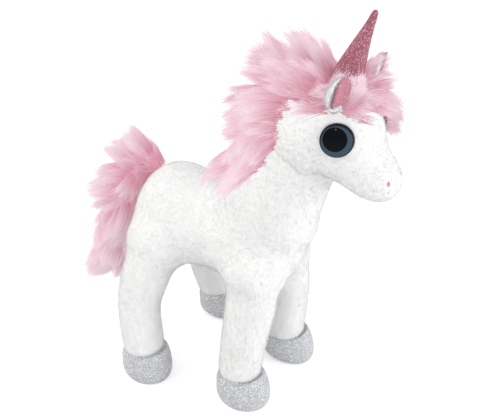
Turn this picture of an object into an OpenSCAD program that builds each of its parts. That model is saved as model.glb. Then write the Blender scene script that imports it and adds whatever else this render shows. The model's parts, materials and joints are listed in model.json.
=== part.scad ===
// Plush unicorn: a stuffed cloth toy that stands on four legs, with a sewn-on head,
// long-pile mane and tail, a stuffed horn, lined ears and plastic safety eyes.
// Millimetres, +Z up, nose towards -Y, the animal's right side towards -X.

/* [Body] */
// Length of the barrel from chest to rump
barrel_len = 90; // [86:1:95]
// Width of the barrel
barrel_w = 44; // [41:0.5:47]
// Height of the barrel
barrel_h = 46; // [43:0.5:49]
// Height of the belly above the floor
belly_z = 55; // [53.5:0.5:56.5]

/* [Neck] */
// Width of the neck at the head
neck_w = 31; // [28:0.5:33]
// Depth of the neck at the head, front to back
neck_depth = 35; // [32:0.5:37]
// Height of the middle of the head above the floor
head_z = 137.5; // [135:0.5:140]
// Distance of the middle of the head ahead of the middle of the stance
head_ahead = 46; // [44:0.5:48]

/* [Head] */
// Width of the head across the cheeks
head_w = 41; // [38:0.5:43]
// Height of the head at the eyes
head_h = 47; // [44:0.5:49]
// Width of the muzzle
muzzle_w = 24; // [21:0.5:27]
// Height of the muzzle
muzzle_h = 24; // [21:0.5:27]
// Reach of the nose ahead of the middle of the head
nose_reach = 35.5; // [32:0.5:39]
// Drop of the nose below the middle of the head
nose_drop = 21; // [18:0.5:24]
// Largest angle that the head nods up
nod_up = 8; // [4:1:10]

/* [Eyes] */
// Diameter of an eye
eye_d = 13; // [11:0.5:14]
// Height of an eye's clear dome
eye_dome_h = 3.4; // [2.6:0.1:4.5]
// Diameter of the shank behind an eye
shank_d = 4.4; // [3.5:0.1:5]
// Length of the shank behind an eye
shank_len = 8; // [7:0.5:10]
// Diameter of the washer that locks an eye
washer_d = 12; // [10:0.5:13]

/* [Horn] */
// Length of the horn above its seat
horn_len = 31; // [28:1:38]
// Diameter of the horn at its seat
horn_d = 14; // [12.5:0.5:15]
// Diameter of the horn's blunt tip
horn_tip_d = 3.6; // [3.2:0.1:5]
// Lean of the horn towards the nose, from upright
horn_lean = 19; // [15:1:23]

/* [Ears] */
// Height of an ear
ear_h = 17; // [14:0.5:19]
// Width of an ear
ear_w = 12.5; // [11:0.5:13.5]
// Thickness of an ear's lining
lining_t = 1.2; // [1:0.1:1.5]

/* [Legs] */
// Height of the shoulder and hip pivots
hip_z = 66.5; // [65:0.5:68]
// Distance between the shoulder pivots, left to right
shoulder_track = 27; // [26:0.5:28]
// Distance between the hip pivots, left to right
hip_track = 35; // [34:0.5:36]
// Radius of the round top of a front leg, seen from the side
shoulder_r = 14.5; // [14:0.5:15.5]
// Radius of the round top of a hind leg, seen from the side
haunch_r = 16.5; // [16:0.5:17.5]
// Diameter of a leg below its round top
leg_d = 22; // [20.5:0.5:22.5]
// Diameter of a leg at the hoof
ankle_d = 19.5; // [18:0.5:20.5]

/* [Hooves] */
// Distance between the front hooves, left to right
front_track = 40; // [36:0.5:41]
// Distance between the hind hooves, left to right
hind_track = 62.5; // [60:0.5:66]
// Distance from front to hind hooves
wheelbase = 45.5; // [45:0.5:50]
// Height of a hoof
hoof_h = 13.5; // [12.5:0.5:15]
// Width of a hoof
hoof_w = 22; // [21.5:0.5:23.5]
// Length of a hoof, toe to heel
hoof_len = 24; // [22.5:0.5:25]

/* [Mane and tail] */
// Length of the mane's locks on the neck and crown
mane_len = 25; // [18:1:28]
// Length of the forelock's locks
forelock_len = 23; // [17:1:26]
// Thickness of a lock at its root
lock_d = 8; // [6.5:0.5:9]
// Reach of the tail behind its root
tail_reach = 37; // [30:1:38]
// Height of the tail's end above the floor
tail_low = 21; // [16:1:36]

/* [Cloth] */
// Thickness of the plush cover with its pile
cover_t = 2.2; // [1.8:0.1:2.6]
// Gap left between bodies that move past each other
seam_gap = 0.7; // [0.6:0.1:0.9]
// Gap between a cover and its filling
fill_gap = 0.2; // [0.1:0.1:0.4]

/* [Hidden] */
LATERAL = [1, 0, 0];
RIGHT = -1;
LEFT = 1;
plush = [0.97, 0.97, 0.96];
filling = [0.9, 0.88, 0.83];
silver = [0.78, 0.79, 0.8];
pink = [0.95, 0.76, 0.83];
rose = [0.72, 0.45, 0.52];
slate = [0.24, 0.3, 0.35];

// Shape functions

function unit(v) = v / norm(v);
function mix(a, b, t) = a + (b - a) * t;
function place(station) = [station[0], station[1], station[2]];
function station(p, w, h) = [p[0], p[1], p[2], w, h];

// A smooth curve through a list of stations, at u from 0 to 1
function spline(list, u) =
    let (n = len(list) - 1, k = max(0, min(floor(u * n), n - 1)), t = u * n - k,
         p1 = list[k], p2 = list[k + 1],
         p0 = k > 0 ? list[k - 1] : 2 * p1 - p2,
         p3 = k < n - 1 ? list[k + 2] : 2 * p2 - p1)
    p1 + 0.5 * t * ((p2 - p0) + t * ((2 * p0 - 5 * p1 + 4 * p2 - p3) + t * (3 * (p1 - p2) + p3 - p0)));

function tangent(list, u) =
    let (d = 0.01)
    unit(place(spline(list, min(u + d, 1))) - place(spline(list, max(u - d, 0))));

// Share of the full girth at u: round at a closed end, full at an open one
function girth(u, start_p, end_p) =
    u < 0.5 ? (start_p == 0 ? 1 : sqrt(max(0, 1 - pow(1 - 2 * u, start_p))))
            : (end_p == 0 ? 1 : sqrt(max(0, 1 - pow(2 * u - 1, end_p))));

// Point on a form's surface at u along its spine and angle a round it
function skin(list, start_p, end_p, u, a) =
    let (st = spline(list, u), t = tangent(list, u), k = girth(u, start_p, end_p),
         across = unit(LATERAL - (LATERAL * t) * t), up = cross(t, across))
    place(st) + k * (across * st[3] * cos(a) + up * st[4] * sin(a));

function skin_normal(list, start_p, end_p, u, a) =
    unit(cross(skin(list, start_p, end_p, u, a + 1) - skin(list, start_p, end_p, u, a - 1),
        skin(list, start_p, end_p, u + 0.005, a) - skin(list, start_p, end_p, u - 0.005, a)));

// Stations with the girth taken in by d and each closed end drawn back by d
function inset(list, d, start_p, end_p) =
    let (n = len(list) - 1, a = tangent(list, 0), b = tangent(list, 1))
    [for (i = [0 : n]) let (s = list[i],
        shift = i == 0 && start_p > 0 ? a * d : i == n && end_p > 0 ? -b * d : [0, 0, 0])
        station(place(s) + shift, s[3] - d, s[4] - d)];

// Stuffed form: elliptical rings carried along a curved spine. A power of 0 leaves an end flat,
// and a larger power rounds it more bluntly.
module stuffed(list, start_p, end_p, rings, sides) {
    us = [for (i = [0 : rings]) (1 - cos(180 * i / rings)) / 2];
    first = start_p > 0 ? 1 : 0;
    last = end_p > 0 ? rings - 1 : rings;
    points = concat(
        [place(spline(list, 0))],
        [for (i = [first : last], j = [0 : sides - 1])
            skin(list, start_p, end_p, us[i], 360 * (j + 0.5) / sides)],
        [place(spline(list, 1))]);
    n = last - first + 1;
    end = 1 + n * sides;
    faces = concat(
        [for (j = [0 : sides - 1]) [0, 1 + j, 1 + (j + 1) % sides]],
        [for (i = [0 : n - 2], j = [0 : sides - 1])
            let (a = 1 + i * sides + j, b = 1 + i * sides + (j + 1) % sides)
            each [[a, b + sides, b], [a, a + sides, b + sides]]],
        [for (j = [0 : sides - 1]) [end, end - sides + (j + 1) % sides, end - sides + j]]);
    polyhedron(points, faces);
}

// Joins or cuts the cloth forms inside it into one surface
module sewn() { resize([0, 0, 0]) children(); }

// Puts its children at a point, their Z along the normal and their X as near as can be to the side
module seat(point, normal, side) {
    z = unit(normal);
    x = unit(side - (side * z) * z);
    y = cross(z, x);
    multmatrix([[x[0], y[0], z[0], point[0]], [x[1], y[1], z[1], point[1]], [x[2], y[2], z[2], point[2]]])
        children();
}

// Round form about the X axis, the axis of every swing and nod
module knuckle(point, r, half_w, sides) {
    translate(point) rotate([0, 90, 0]) scale([r, r, half_w]) sphere(r = 1, $fn = sides);
}

// Tapered lock of hair from a root to a tip, pushed aside at its middle
module lock(root, tip, bend, d) {
    stuffed([
        station(root, d * 0.42, d * 0.42),
        station(mix(root, tip, 0.5) + bend, d * 0.46, d * 0.38),
        station(tip, d * 0.07, d * 0.07)], 2, 0, 4, 5);
}

// Places worked out from the sizes

// Half of what the tail reaches out further than the nose, so that the box's middle is at y = 0
mid_shift = (wheelbase / 2 + tail_reach + 25.06 - head_ahead - nose_reach) / 2;
front_y = -wheelbase / 2 - mid_shift;
hind_y = wheelbase / 2 - mid_shift;
rump_y = hind_y + 21.5;
barrel_z = belly_z + barrel_h / 2;
head_mid = [0, -head_ahead - mid_shift, head_z];

barrel = [for (s = [[0, 1, 0.92, 0.96], [0.17, 2, 1.02, 1.02], [0.34, 0.6, 0.99, 1], [0.5, -0.8, 0.96, 0.96],
                    [0.67, -1, 0.98, 0.95], [0.84, 0, 1, 0.98], [1, 1, 0.9, 0.96]])
    [0, rump_y - s[0] * barrel_len, barrel_z + s[1], s[2] * barrel_w / 2, s[3] * barrel_h / 2]];

neck_foot = [0, front_y + 11, barrel_z];
neck = [for (s = [[0, 0, 0.7, 0.68], [0.34, 0.36, 0.63, 0.73], [0.6, 0.62, 0.56, 0.61],
                  [0.8, 0.83, 0.5, 0.53], [0.97, 1, 0.46, 0.46]])
    station(mix(neck_foot, head_mid, s[1]) + [0, (s[0] - s[1]) * (head_mid[1] - neck_foot[1]), 0],
        s[2] * neck_w, s[3] * neck_depth)];

head = concat(
    [for (s = [[23, 0.5, 0.9, 0.92], [12, 0, 0.99, 1], [0, 0, 1, 1], [-10.5, -2.5, 0.88, 0.89]])
        station(head_mid + [0, s[0], s[1]], s[2] * head_w / 2, s[3] * head_h / 2)],
    [for (s = [[0.6, 0.55, 1.08], [0.82, 0.8, 1], [1, 1, 0.92]])
        station(head_mid - [0, s[0] * nose_reach, s[1] * nose_drop],
            s[2] * muzzle_w / 2, s[2] * muzzle_h / 2)]);

function front_leg(side) = [
    [side * shoulder_track / 2, front_y, hip_z, leg_d * 0.48, leg_d * 0.46],
    [side * (shoulder_track / 2 + 1.2), front_y, hip_z * 0.76, leg_d * 0.5, leg_d * 0.5],
    [side * (front_track / 2 - 2), front_y, hip_z * 0.52, leg_d * 0.49, leg_d * 0.49],
    [side * (front_track / 2 - 0.5), front_y + 0.5, hoof_h + 6, ankle_d / 2, ankle_d / 2],
    [side * front_track / 2, front_y + 0.5, hoof_h, ankle_d / 2 + 0.4, ankle_d / 2 + 0.4]];

function hind_leg(side) = [
    [side * hip_track / 2, hind_y + 4, hip_z, leg_d * 0.58, leg_d * 0.6],
    [side * (hip_track / 2 + 5.5), hind_y + 6.5, hip_z * 0.79, leg_d * 0.55, leg_d * 0.58],
    [side * (hind_track / 2 - 4), hind_y + 8.5, hip_z * 0.55, leg_d * 0.5, leg_d * 0.52],
    [side * (hind_track / 2 - 1.2), hind_y + 5, hoof_h + 6, ankle_d / 2, ankle_d / 2],
    [side * hind_track / 2, hind_y + 3.5, hoof_h, ankle_d / 2 + 0.4, ankle_d / 2 + 0.4]];

// Hoof under a leg: its top lies on the plane of the leg's open edge and its sole is flat
function hoof(line) =
    let (top = line[len(line) - 1], t = tangent(line, 1), toe = [top[0], top[1] - 2.4, 0], up = [0, 0, hoof_h])
    [station(place(top) - t, top[3], top[4]),
     station(place(top) + t * hoof_h * 0.22, hoof_w * 0.48, hoof_w * 0.49),
     station(toe + up * 0.45, hoof_w * 0.5, hoof_len * 0.5),
     station(toe + up * 0.16, hoof_w * 0.45, hoof_len * 0.45),
     station(toe, hoof_w * 0.36, hoof_len * 0.36)];

// Body and neck

module body_form(d, rings, sides) {
    stuffed(inset(barrel, d, 3, 3), 3, 3, rings, sides);
    stuffed(inset(neck, d, 4, 6), 4, 6, rings - 4, sides);
}

// The round tops are a little flatter than they are tall
function top_r(hind) = hind ? haunch_r : shoulder_r;
function top_w(hind) = top_r(hind) - 2.5;

module leg_top(line, hind, grow, spread, sides) {
    knuckle(place(line[0]), top_r(hind) + grow, top_w(hind) + grow + spread, sides);
}

module head_room(grow, sides) {
    knuckle(head_mid, head_h * 0.54 + grow, head_w / 2 + grow, sides);
}

// Room in the body for the legs, wide enough to pass the belly as they swing, and for the nodding head
module joint_room(grow, sides) {
    for (side = [RIGHT, LEFT]) {
        leg_top(front_leg(side), false, grow, 4, sides);
        leg_top(hind_leg(side), true, grow, 0, sides);
    }
    head_room(grow, sides + 6);
}

module body_cover() {
    color(plush) sewn() difference() {
        body_form(0, 12, 16);
        body_form(cover_t, 10, 12);
        joint_room(seam_gap, 16);
    }
}

module body_stuffing() {
    color(filling) sewn() difference() {
        body_form(cover_t + fill_gap, 10, 12);
        joint_room(seam_gap + 1.4, 10);
    }
}

// Head

function head_skin(u, a) = skin(head, 2.6, 3, u, a);
function head_normal(u, a) = skin_normal(head, 2.6, 3, u, a);
function flip(a, side) = side == RIGHT ? 180 - a : a;

module head_form(d, rings, sides) { stuffed(inset(head, d, 2.6, 3), 2.6, 3, rings, sides); }

eye_u = 0.52;
eye_a = 24.5;
eye_sink = eye_d * eye_d / 8 / (head_w / 2) + 0.1;
washer_t = 1.4;
washer_depth = cover_t + washer_d * washer_d / 8 / (head_w / 2 - cover_t) - eye_sink + 1.6;

// Children sit at an eye, their Z out of the head, with zero on the eye's back face
module at_eye(side) {
    a = flip(eye_a, side);
    n = head_normal(eye_u, a);
    seat(head_skin(eye_u, a) - n * eye_sink, n, LATERAL * -side) children();
}

module eye_room(grow) {
    cylinder(h = eye_d, d = eye_d + 2 * grow, $fn = 20);
    translate([0, 0, -shank_len - grow]) cylinder(h = shank_len + 1, d = shank_d + 2 * grow, $fn = 14);
}

module washer_room() {
    translate([0, 0, -washer_depth - washer_t - 0.3]) cylinder(h = head_h / 2, d = washer_d + 0.6, $fn = 20);
}

// Open edge of the head's cover, sewn to the neck
module neck_hole() {
    seat(head_mid, place(neck[3]) - head_mid, LATERAL) cylinder(h = head_h, d = neck_w * 0.6, $fn = 18);
}

module head_cover() {
    color(plush) sewn() difference() {
        head_form(0, 13, 18);
        head_form(cover_t, 10, 12);
        neck_hole();
        at_eye(RIGHT) eye_room(0.15);
        at_eye(LEFT) eye_room(0.15);
    }
}

module head_stuffing() {
    color(filling) sewn() difference() {
        head_form(cover_t + fill_gap, 10, 12);
        for (side = [RIGHT, LEFT]) at_eye(side) {
            eye_room(0.3);
            washer_room();
        }
    }
}

module eye_dome(side) {
    rise = eye_dome_h - 0.6;
    r = (eye_d * eye_d / 4 + rise * rise) / (2 * rise);
    color(slate) at_eye(side) translate([0, 0, 0.9]) intersection() {
        cylinder(h = eye_dome_h + 1, d = eye_d, $fn = 48);
        translate([0, 0, eye_dome_h - r]) sphere(r = r, $fn = 64);
    }
}

module eye_back(side) {
    color(slate) at_eye(side) {
        cylinder(h = 0.9, d = eye_d, $fn = 48);
        translate([0, 0, -shank_len]) cylinder(h = shank_len + 0.4, d = shank_d, $fn = 32);
    }
}

module eye_washer(side) {
    color(plush) at_eye(side) translate([0, 0, -washer_depth - washer_t]) difference() {
        cylinder(h = washer_t, d = washer_d, $fn = 48);
        translate([0, 0, -1]) cylinder(h = washer_t + 2, d = shank_d + 0.1, $fn = 32);
    }
}

module nostril(side) {
    color(pink) sewn() difference() {
        translate(head_skin(0.9, flip(44, side))) scale([1, 1, 1.5]) sphere(r = 1, $fn = 10);
        head_form(0, 13, 18);
    }
}

// Horn, from a seat on top of the head

horn_axis = [0, -sin(horn_lean), cos(horn_lean)];
horn_sunk = 4;
horn_foot = head_skin(0.425, 90) - horn_axis * horn_sunk;

function horn(d) = concat(
    [for (s = [[0, 0, 1.03], [0.26, 0.3, 0.86], [0.55, 0.3, 0.56], [0.82, 0, 0.32]])
        station(horn_foot + horn_axis * s[0] * (horn_len + horn_sunk) + [0, s[1], 0],
            s[2] * horn_d / 2 - d, s[2] * horn_d / 2 - d)],
    [station(horn_foot + horn_axis * (horn_len + horn_sunk - d),
        horn_tip_d * 0.55 - d * 0.5, horn_tip_d * 0.55 - d * 0.5)]);

module horn_form(d) { stuffed(horn(d), 0, 8, 9, 14); }

module horn_cover() {
    color(rose) sewn() difference() {
        horn_form(0);
        horn_form(1.1);
        head_form(0, 13, 18);
    }
}

module horn_stuffing() {
    color(filling) sewn() difference() {
        horn_form(1.2);
        head_form(0, 13, 18);
    }
}

// Ears: a cupped leaf of plush with a lining, on a rounded foot that rolls on the head

ear_foot = 2.2;
ear_u = 0.46;
ear_a = 48;

module at_ear(side, fold) {
    a = flip(ear_a, side);
    n = head_normal(ear_u, a);
    seat(head_skin(ear_u, a) + n * (ear_foot + seam_gap), [side * 0.2, -0.3, 0.93], [1, side * 0.3, 0])
        rotate([fold, 0, 0]) children();
}

module ear_leaf(grow) {
    stuffed(inset([
        [0, 0, -ear_foot, ear_w * 0.3, ear_foot],
        [0, 0.3, ear_h * 0.12, ear_w * 0.44, ear_foot],
        [0, 0.6, ear_h * 0.42, ear_w * 0.5, 3],
        [0, 0.2, ear_h * 0.68, ear_w * 0.34, 2.4],
        [0, -0.6, ear_h - ear_foot, ear_w * 0.07, 0.9]], -grow, 3, 3), 3, 3, 9, 12);
}

module ear_cup(grow) {
    translate([0, -ear_w * 0.8, 0]) cylinder(h = ear_h * 2, r = ear_w * 0.8 + grow, $fn = 32);
}

module ear_back(side) {
    color(plush) sewn() at_ear(side, 0) difference() {
        ear_leaf(0);
        ear_cup(lining_t);
    }
}

module ear_lining(side) {
    color(rose) sewn() at_ear(side, 0) difference() {
        intersection() {
            ear_leaf(0);
            ear_cup(lining_t);
        }
        ear_cup(0);
    }
}

// Mane and tail: locks of long pile on a fuller root, cut where they rest on the cloth

module head_hair_room() {
    head_form(0, 13, 18);
    horn_form(0);
    for (side = [RIGHT, LEFT], fold = [0, 15, 30]) at_ear(side, fold) ear_leaf(0.8);
}

module forelock() {
    j = rands(-1, 1, 60, 5);
    color(pink) sewn() difference() {
        union() {
            stuffed([for (s = [[0.37, 10], [0.46, 12], [0.53, 9]]) station(head_skin(s[0], 90), s[1], 6)],
                3, 3, 7, 10);
            for (row = [0, 1], i = [-4 : 4]) {
                w = i / 4;
                k = row * 9 + i + 4;
                root = head_skin(0.42 + 0.06 * row, 90 + 26 * w);
                aim = [0.85 * w, -0.8 + 0.35 * w * w, 0.42 - 0.5 * row - 0.25 * w * w + 0.16 * j[k]];
                lock(root, root + forelock_len * aim, [0, -1, 4], lock_d);
            }
        }
        head_hair_room();
    }
}

module crown_mane() {
    j = rands(-1, 1, 120, 8);
    color(pink) sewn() difference() {
        union() {
            stuffed([for (s = [[0.05, 1.25], [0.14, 2], [0.26, 2.125], [0.38, 1.375]])
                station(head_skin(s[0], 90), s[1] * lock_d, 1.125 * lock_d)], 3, 3, 8, 12);
            for (row = [0 : 3], i = [-3 : 3]) {
                k = row * 7 + i + 3;
                w = i / 3;
                root = head_skin(0.1 + 0.08 * row, 90 + (56 - 6 * row) * w);
                aim = [0.7 * w + 0.1 * j[k], 0.9 - 0.2 * row, 0.3 + 0.1 * row - 0.5 * w * w + 0.12 * j[k + 30]];
                lock(root, root + mane_len * (0.85 + 0.1 * j[k + 60]) * aim, [0, -1, 3], lock_d);
            }
        }
        head_hair_room();
        translate(head_mid) rotate([-6, 0, 0]) translate([-head_w, 0, -2 * head_w]) cube(2 * head_w);
    }
}

function neck_skin(u, a) = skin(neck, 4, 6, u, a);
function barrel_skin(u, a) = skin(barrel, 3, 3, u, a);
mane_line = [for (s = [[0.86, 6], [0.72, 5], [0.58, 4]]) neck_skin(s[0], 90) + [0, 0.87, 0.5] * s[1]];
withers = [barrel_skin(0.56, 90) + [0, 0, 4], barrel_skin(0.45, 90) + [0, 0, 1]];

module neck_mane() {
    j = rands(-1, 1, 120, 3);
    crest = concat(mane_line, withers);
    color(pink) sewn() difference() {
        union() {
            stuffed([for (i = [0 : 4])
                station(crest[i], [1.5, 1.875, 1.875, 1.375, 0.625][i] * lock_d,
                        [1.25, 1.25, 1.125, 0.875, 0.5][i] * lock_d)], 3, 3, 9, 12);
            for (row = [0 : 4], i = [-1 : 1]) {
                k = row * 3 + i + 1;
                u = 0.06 + 0.17 * row;
                p = place(spline([for (c = crest) station(c, 0, 0)], u));
                aim = [0.5 * i + 0.08 * j[k], 0.85 - 0.4 * u, -0.36 - 0.1 * abs(i) + 0.1 * j[k + 40]];
                lock(p + [5 * i, 1, 1], p + [5 * i, 1, 2] + mane_len * (1 - 0.6 * u) * aim, [0, 2, 3], lock_d);
            }
        }
        body_form(0, 12, 16);
        head_room(seam_gap, 24);
        translate(head_mid) rotate([-8 - nod_up, 0, 0]) translate([-head_w, 0, 0]) cube(2 * head_w);
    }
}

tail_u = 0.09;
tail_rise = 3;
tail_root = barrel_skin(tail_u, 90) + skin_normal(barrel, 3, 3, tail_u, 90) * (tail_rise + seam_gap);

module tail() {
    j = rands(-1, 1, 120, 11);
    drop = tail_root[2] - tail_low;
    line = [for (s = [[0, 0, 0.5], [0.3, 0.05, 0.875], [0.55, -0.1, 1.125], [0.72, -0.3, 1.25], [0.85, -0.52, 1.25],
                      [0.95, -0.74, 1], [1, -0.95, 0.5]])
        station(tail_root + [0, s[0] * tail_reach, s[1] * drop], s[2] * lock_d * 1.1, s[2] * lock_d)];
    color(pink) sewn() difference() {
        union() {
            stuffed(line, 2, 3, 11, 12);
            for (i = [0 : 20]) {
                u = 0.15 + 0.04 * i;
                w = i % 3 - 1;
                p = place(spline(line, u));
                out = [0.9 * w, 0.65 - 0.3 * abs(w), 0.15 * j[i]];
                fall = [0, 0.1, u < 0.3 ? 0.9 : 0.3 - 1.3 * u];
                lock(p, p + lock_d * ((1.5 + 0.25 * j[i + 30]) * out + 1.5 * fall), [0, 1, 1], lock_d);
            }
        }
        body_form(-seam_gap, 12, 16);
    }
}

// Legs and hooves

module leg_form(line, hind, d, rings, sides) {
    leg_top(line, hind, -d, 0, round(1.3 * sides));
    stuffed(inset(line, d, 0, 0), 0, 0, rings, sides);
}

// Everything below the seam of leg and hoof, a plane just above the end of the leg's line
module below_leg(line) {
    along = tangent(line, 1);
    seat(place(line[len(line) - 1]) - along * 0.5, along, LATERAL)
        translate([-leg_d, -leg_d, 0]) cube([2 * leg_d, 2 * leg_d, 2 * leg_d]);
}

module leg_cover(line, hind) {
    color(plush) sewn() difference() {
        leg_form(line, hind, 0, 6, 12);
        leg_form(line, hind, cover_t, 4, 8);
        below_leg(line);
    }
}

module leg_stuffing(line, hind) {
    color(filling) sewn() difference() {
        leg_form(line, hind, cover_t + fill_gap, 4, 8);
        below_leg(line);
    }
}

module hoof_form(line, d, rings, sides) {
    list = hoof(line);
    n = len(list) - 1;
    stuffed([for (i = [0 : n]) let (s = list[i])
        station(place(s) + [0, 0, i == n ? d : 0], s[3] - d, s[4] - d)], 0, 0, rings, sides);
}

module hoof_cover(line) {
    color(silver) sewn() intersection() {
        difference() {
            hoof_form(line, 0, 6, 12);
            hoof_form(line, 1.6, 4, 8);
        }
        below_leg(line);
    }
}

module hoof_filling(line) {
    color(filling) sewn() intersection() {
        hoof_form(line, 1.6 + fill_gap, 4, 8);
        below_leg(line);
    }
}

body_cover();
body_stuffing();
head_cover();
head_stuffing();
eye_dome(RIGHT);  // right_eye_dome
eye_back(RIGHT);  // right_eye_back
eye_washer(RIGHT);  // right_eye_washer
eye_dome(LEFT);  // left_eye_dome
eye_back(LEFT);  // left_eye_back
eye_washer(LEFT);  // left_eye_washer
nostril(RIGHT);  // right_nostril
nostril(LEFT);  // left_nostril
horn_cover();
horn_stuffing();
ear_back(RIGHT);  // right_ear_back
ear_lining(RIGHT);  // right_ear_lining
ear_back(LEFT);  // left_ear_back
ear_lining(LEFT);  // left_ear_lining
forelock();
crown_mane();
neck_mane();
tail();
leg_cover(front_leg(RIGHT), false);  // front_right_leg_cover
leg_stuffing(front_leg(RIGHT), false);  // front_right_leg_stuffing
hoof_cover(front_leg(RIGHT));  // front_right_hoof_cover
hoof_filling(front_leg(RIGHT));  // front_right_hoof_filling
leg_cover(front_leg(LEFT), false);  // front_left_leg_cover
leg_stuffing(front_leg(LEFT), false);  // front_left_leg_stuffing
hoof_cover(front_leg(LEFT));  // front_left_hoof_cover
hoof_filling(front_leg(LEFT));  // front_left_hoof_filling
leg_cover(hind_leg(RIGHT), true);  // hind_right_leg_cover
leg_stuffing(hind_leg(RIGHT), true);  // hind_right_leg_stuffing
hoof_cover(hind_leg(RIGHT));  // hind_right_hoof_cover
hoof_filling(hind_leg(RIGHT));  // hind_right_hoof_filling
leg_cover(hind_leg(LEFT), true);  // hind_left_leg_cover
leg_stuffing(hind_leg(LEFT), true);  // hind_left_leg_stuffing
hoof_cover(hind_leg(LEFT));  // hind_left_hoof_cover
hoof_filling(hind_leg(LEFT));  // hind_left_hoof_filling
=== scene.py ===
"""Plush unicorn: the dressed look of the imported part, in the part's own frame.

Lengths are in millimetres until a mesh is made; the frame itself is in metres. The animal faces -Y.
"""

import json
import logging
import math
from abc import ABC, abstractmethod
from dataclasses import dataclass, field, replace
from enum import Enum, IntEnum
from functools import cache
from typing import Callable, Union

import bpy
import numpy as np
from mathutils import Matrix, Vector

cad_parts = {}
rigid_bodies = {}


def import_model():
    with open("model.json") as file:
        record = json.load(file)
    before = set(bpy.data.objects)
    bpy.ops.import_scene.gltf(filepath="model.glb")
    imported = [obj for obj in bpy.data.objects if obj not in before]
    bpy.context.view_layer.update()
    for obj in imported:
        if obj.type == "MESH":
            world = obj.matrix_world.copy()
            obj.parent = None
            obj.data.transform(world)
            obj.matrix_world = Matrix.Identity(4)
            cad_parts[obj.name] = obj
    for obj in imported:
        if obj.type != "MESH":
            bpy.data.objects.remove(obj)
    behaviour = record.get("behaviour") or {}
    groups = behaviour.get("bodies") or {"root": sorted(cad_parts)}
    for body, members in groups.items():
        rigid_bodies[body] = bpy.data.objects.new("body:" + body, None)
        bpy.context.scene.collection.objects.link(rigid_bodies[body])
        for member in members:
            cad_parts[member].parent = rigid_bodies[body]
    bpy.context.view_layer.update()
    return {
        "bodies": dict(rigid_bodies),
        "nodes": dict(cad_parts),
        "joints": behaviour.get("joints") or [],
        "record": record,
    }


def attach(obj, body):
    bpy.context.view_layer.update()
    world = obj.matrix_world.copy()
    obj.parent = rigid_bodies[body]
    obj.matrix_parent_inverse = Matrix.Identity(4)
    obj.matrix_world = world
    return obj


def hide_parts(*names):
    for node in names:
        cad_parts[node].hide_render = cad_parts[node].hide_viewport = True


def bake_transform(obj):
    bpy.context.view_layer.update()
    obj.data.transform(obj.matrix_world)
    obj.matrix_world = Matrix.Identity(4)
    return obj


LOG = logging.getLogger("plush_unicorn")
MM = 0.001
TURN = 2 * np.pi
STRAND_UV = "OFBake"
FLOAT = "NodeSocketFloat"
COLOUR = "NodeSocketColor"
BLACK = (0.0, 0.0, 0.0, 1.0)
WHITE = (1.0, 1.0, 1.0, 1.0)
Array = np.ndarray
Colour = tuple[float, float, float, float]
Place = tuple[float, float, float]
Input = Union[bpy.types.NodeSocket, Colour, Vector, float]
Inputs = dict[Union[str, int], Input]
Setting = Union[str, bpy.types.NodeTree]
Keep = Callable[[Array, Array], Array]


class Side(Enum):
    """A side of the animal, as the sign of its X."""

    RIGHT = -1
    LEFT = 1

    @property
    def word(self) -> str:
        """Returns: the side's name as the CAD nodes spell it."""
        return self.name.lower()


class Pair(Enum):
    """A pair of legs."""

    FRONT = "front"
    HIND = "hind"


class Seed(IntEnum):
    """Where each kind of piece starts its draws; one of several adds its number or its side's sign."""

    FORELOCK = 3
    NECK_MANE = 5
    STRANDS = 7
    TORSO_NAP = 10
    LEG_NAP = 11
    CROWN_MANE = 14
    FRINGE_STRANDS = 17
    TAIL = 24
    HEAD_NAP = 31
    EAR_NAP = 41
    FRINGE = 51
    BACKING = 61


class Slot(Enum):
    """A finish that can be swapped, as the library names it."""

    WHITE_PLUSH = "white_plush"
    PINK_PILE = "pink_pile"
    ROSE_GLITTER = "rose_glitter"
    SILVER_GLITTER = "silver_glitter"
    EYE_DOME = "eye_dome"
    NOSTRIL_THREAD = "nostril_thread"


# Arrays and meshes


def unit(v: Array) -> Array:
    """Scales vectors to length one.

    Args:
        v: vectors along the last axis.
    Returns: the unit vectors.
    """
    return v / np.maximum(np.linalg.norm(v, axis=-1, keepdims=True), 1e-9)


def smoothstep(x: Array, low: float, high: float) -> Array:
    """Eases from 0 at low to 1 at high.

    Args:
        x: the values.
        low: where the ease starts.
        high: where it ends.
    Returns: the eased shares.
    """
    t = np.clip((x - low) / (high - low), 0, 1)
    return t * t * (3 - 2 * t)


def spline(rows: Array, u: Array) -> Array:
    """Runs a Catmull-Rom curve through rows.

    Args:
        rows: the stations, one per row, evenly spread over u.
        u: shares of the run, 0 to 1.
    Returns: one row for each u.
    """
    last = len(rows) - 1
    t = np.clip(u, 0, 1) * last
    i = np.minimum(t.astype(int), last - 1)
    f = (t - i)[:, None]
    ends = np.vstack([2 * rows[0] - rows[1], rows, 2 * rows[-1] - rows[-2]])
    a, b, c, d = ends[i], ends[i + 1], ends[i + 2], ends[i + 3]
    square = 2 * a - 5 * b + 4 * c - d
    cube = 3 * b - a - 3 * c + d
    return 0.5 * (2 * b + (c - a) * f + square * f**2 + cube * f**3)


def girth(u: Array, start: float, end: float) -> Array:
    """Rounds the ends of a stuffed form: the root of one less a power of the distance from its middle.

    Args:
        u: shares of the run.
        start: power of the first end, 0 for an open one.
        end: power of the last end, 0 for an open one.
    Returns: the share of the full size at each u.
    """
    power = np.where(u < 0.5, start, end)
    closed = np.sqrt(np.maximum(1 - np.abs(1 - 2 * u) ** np.maximum(power, 1), 0))
    return np.where(power > 0, closed, 1.0)


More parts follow.
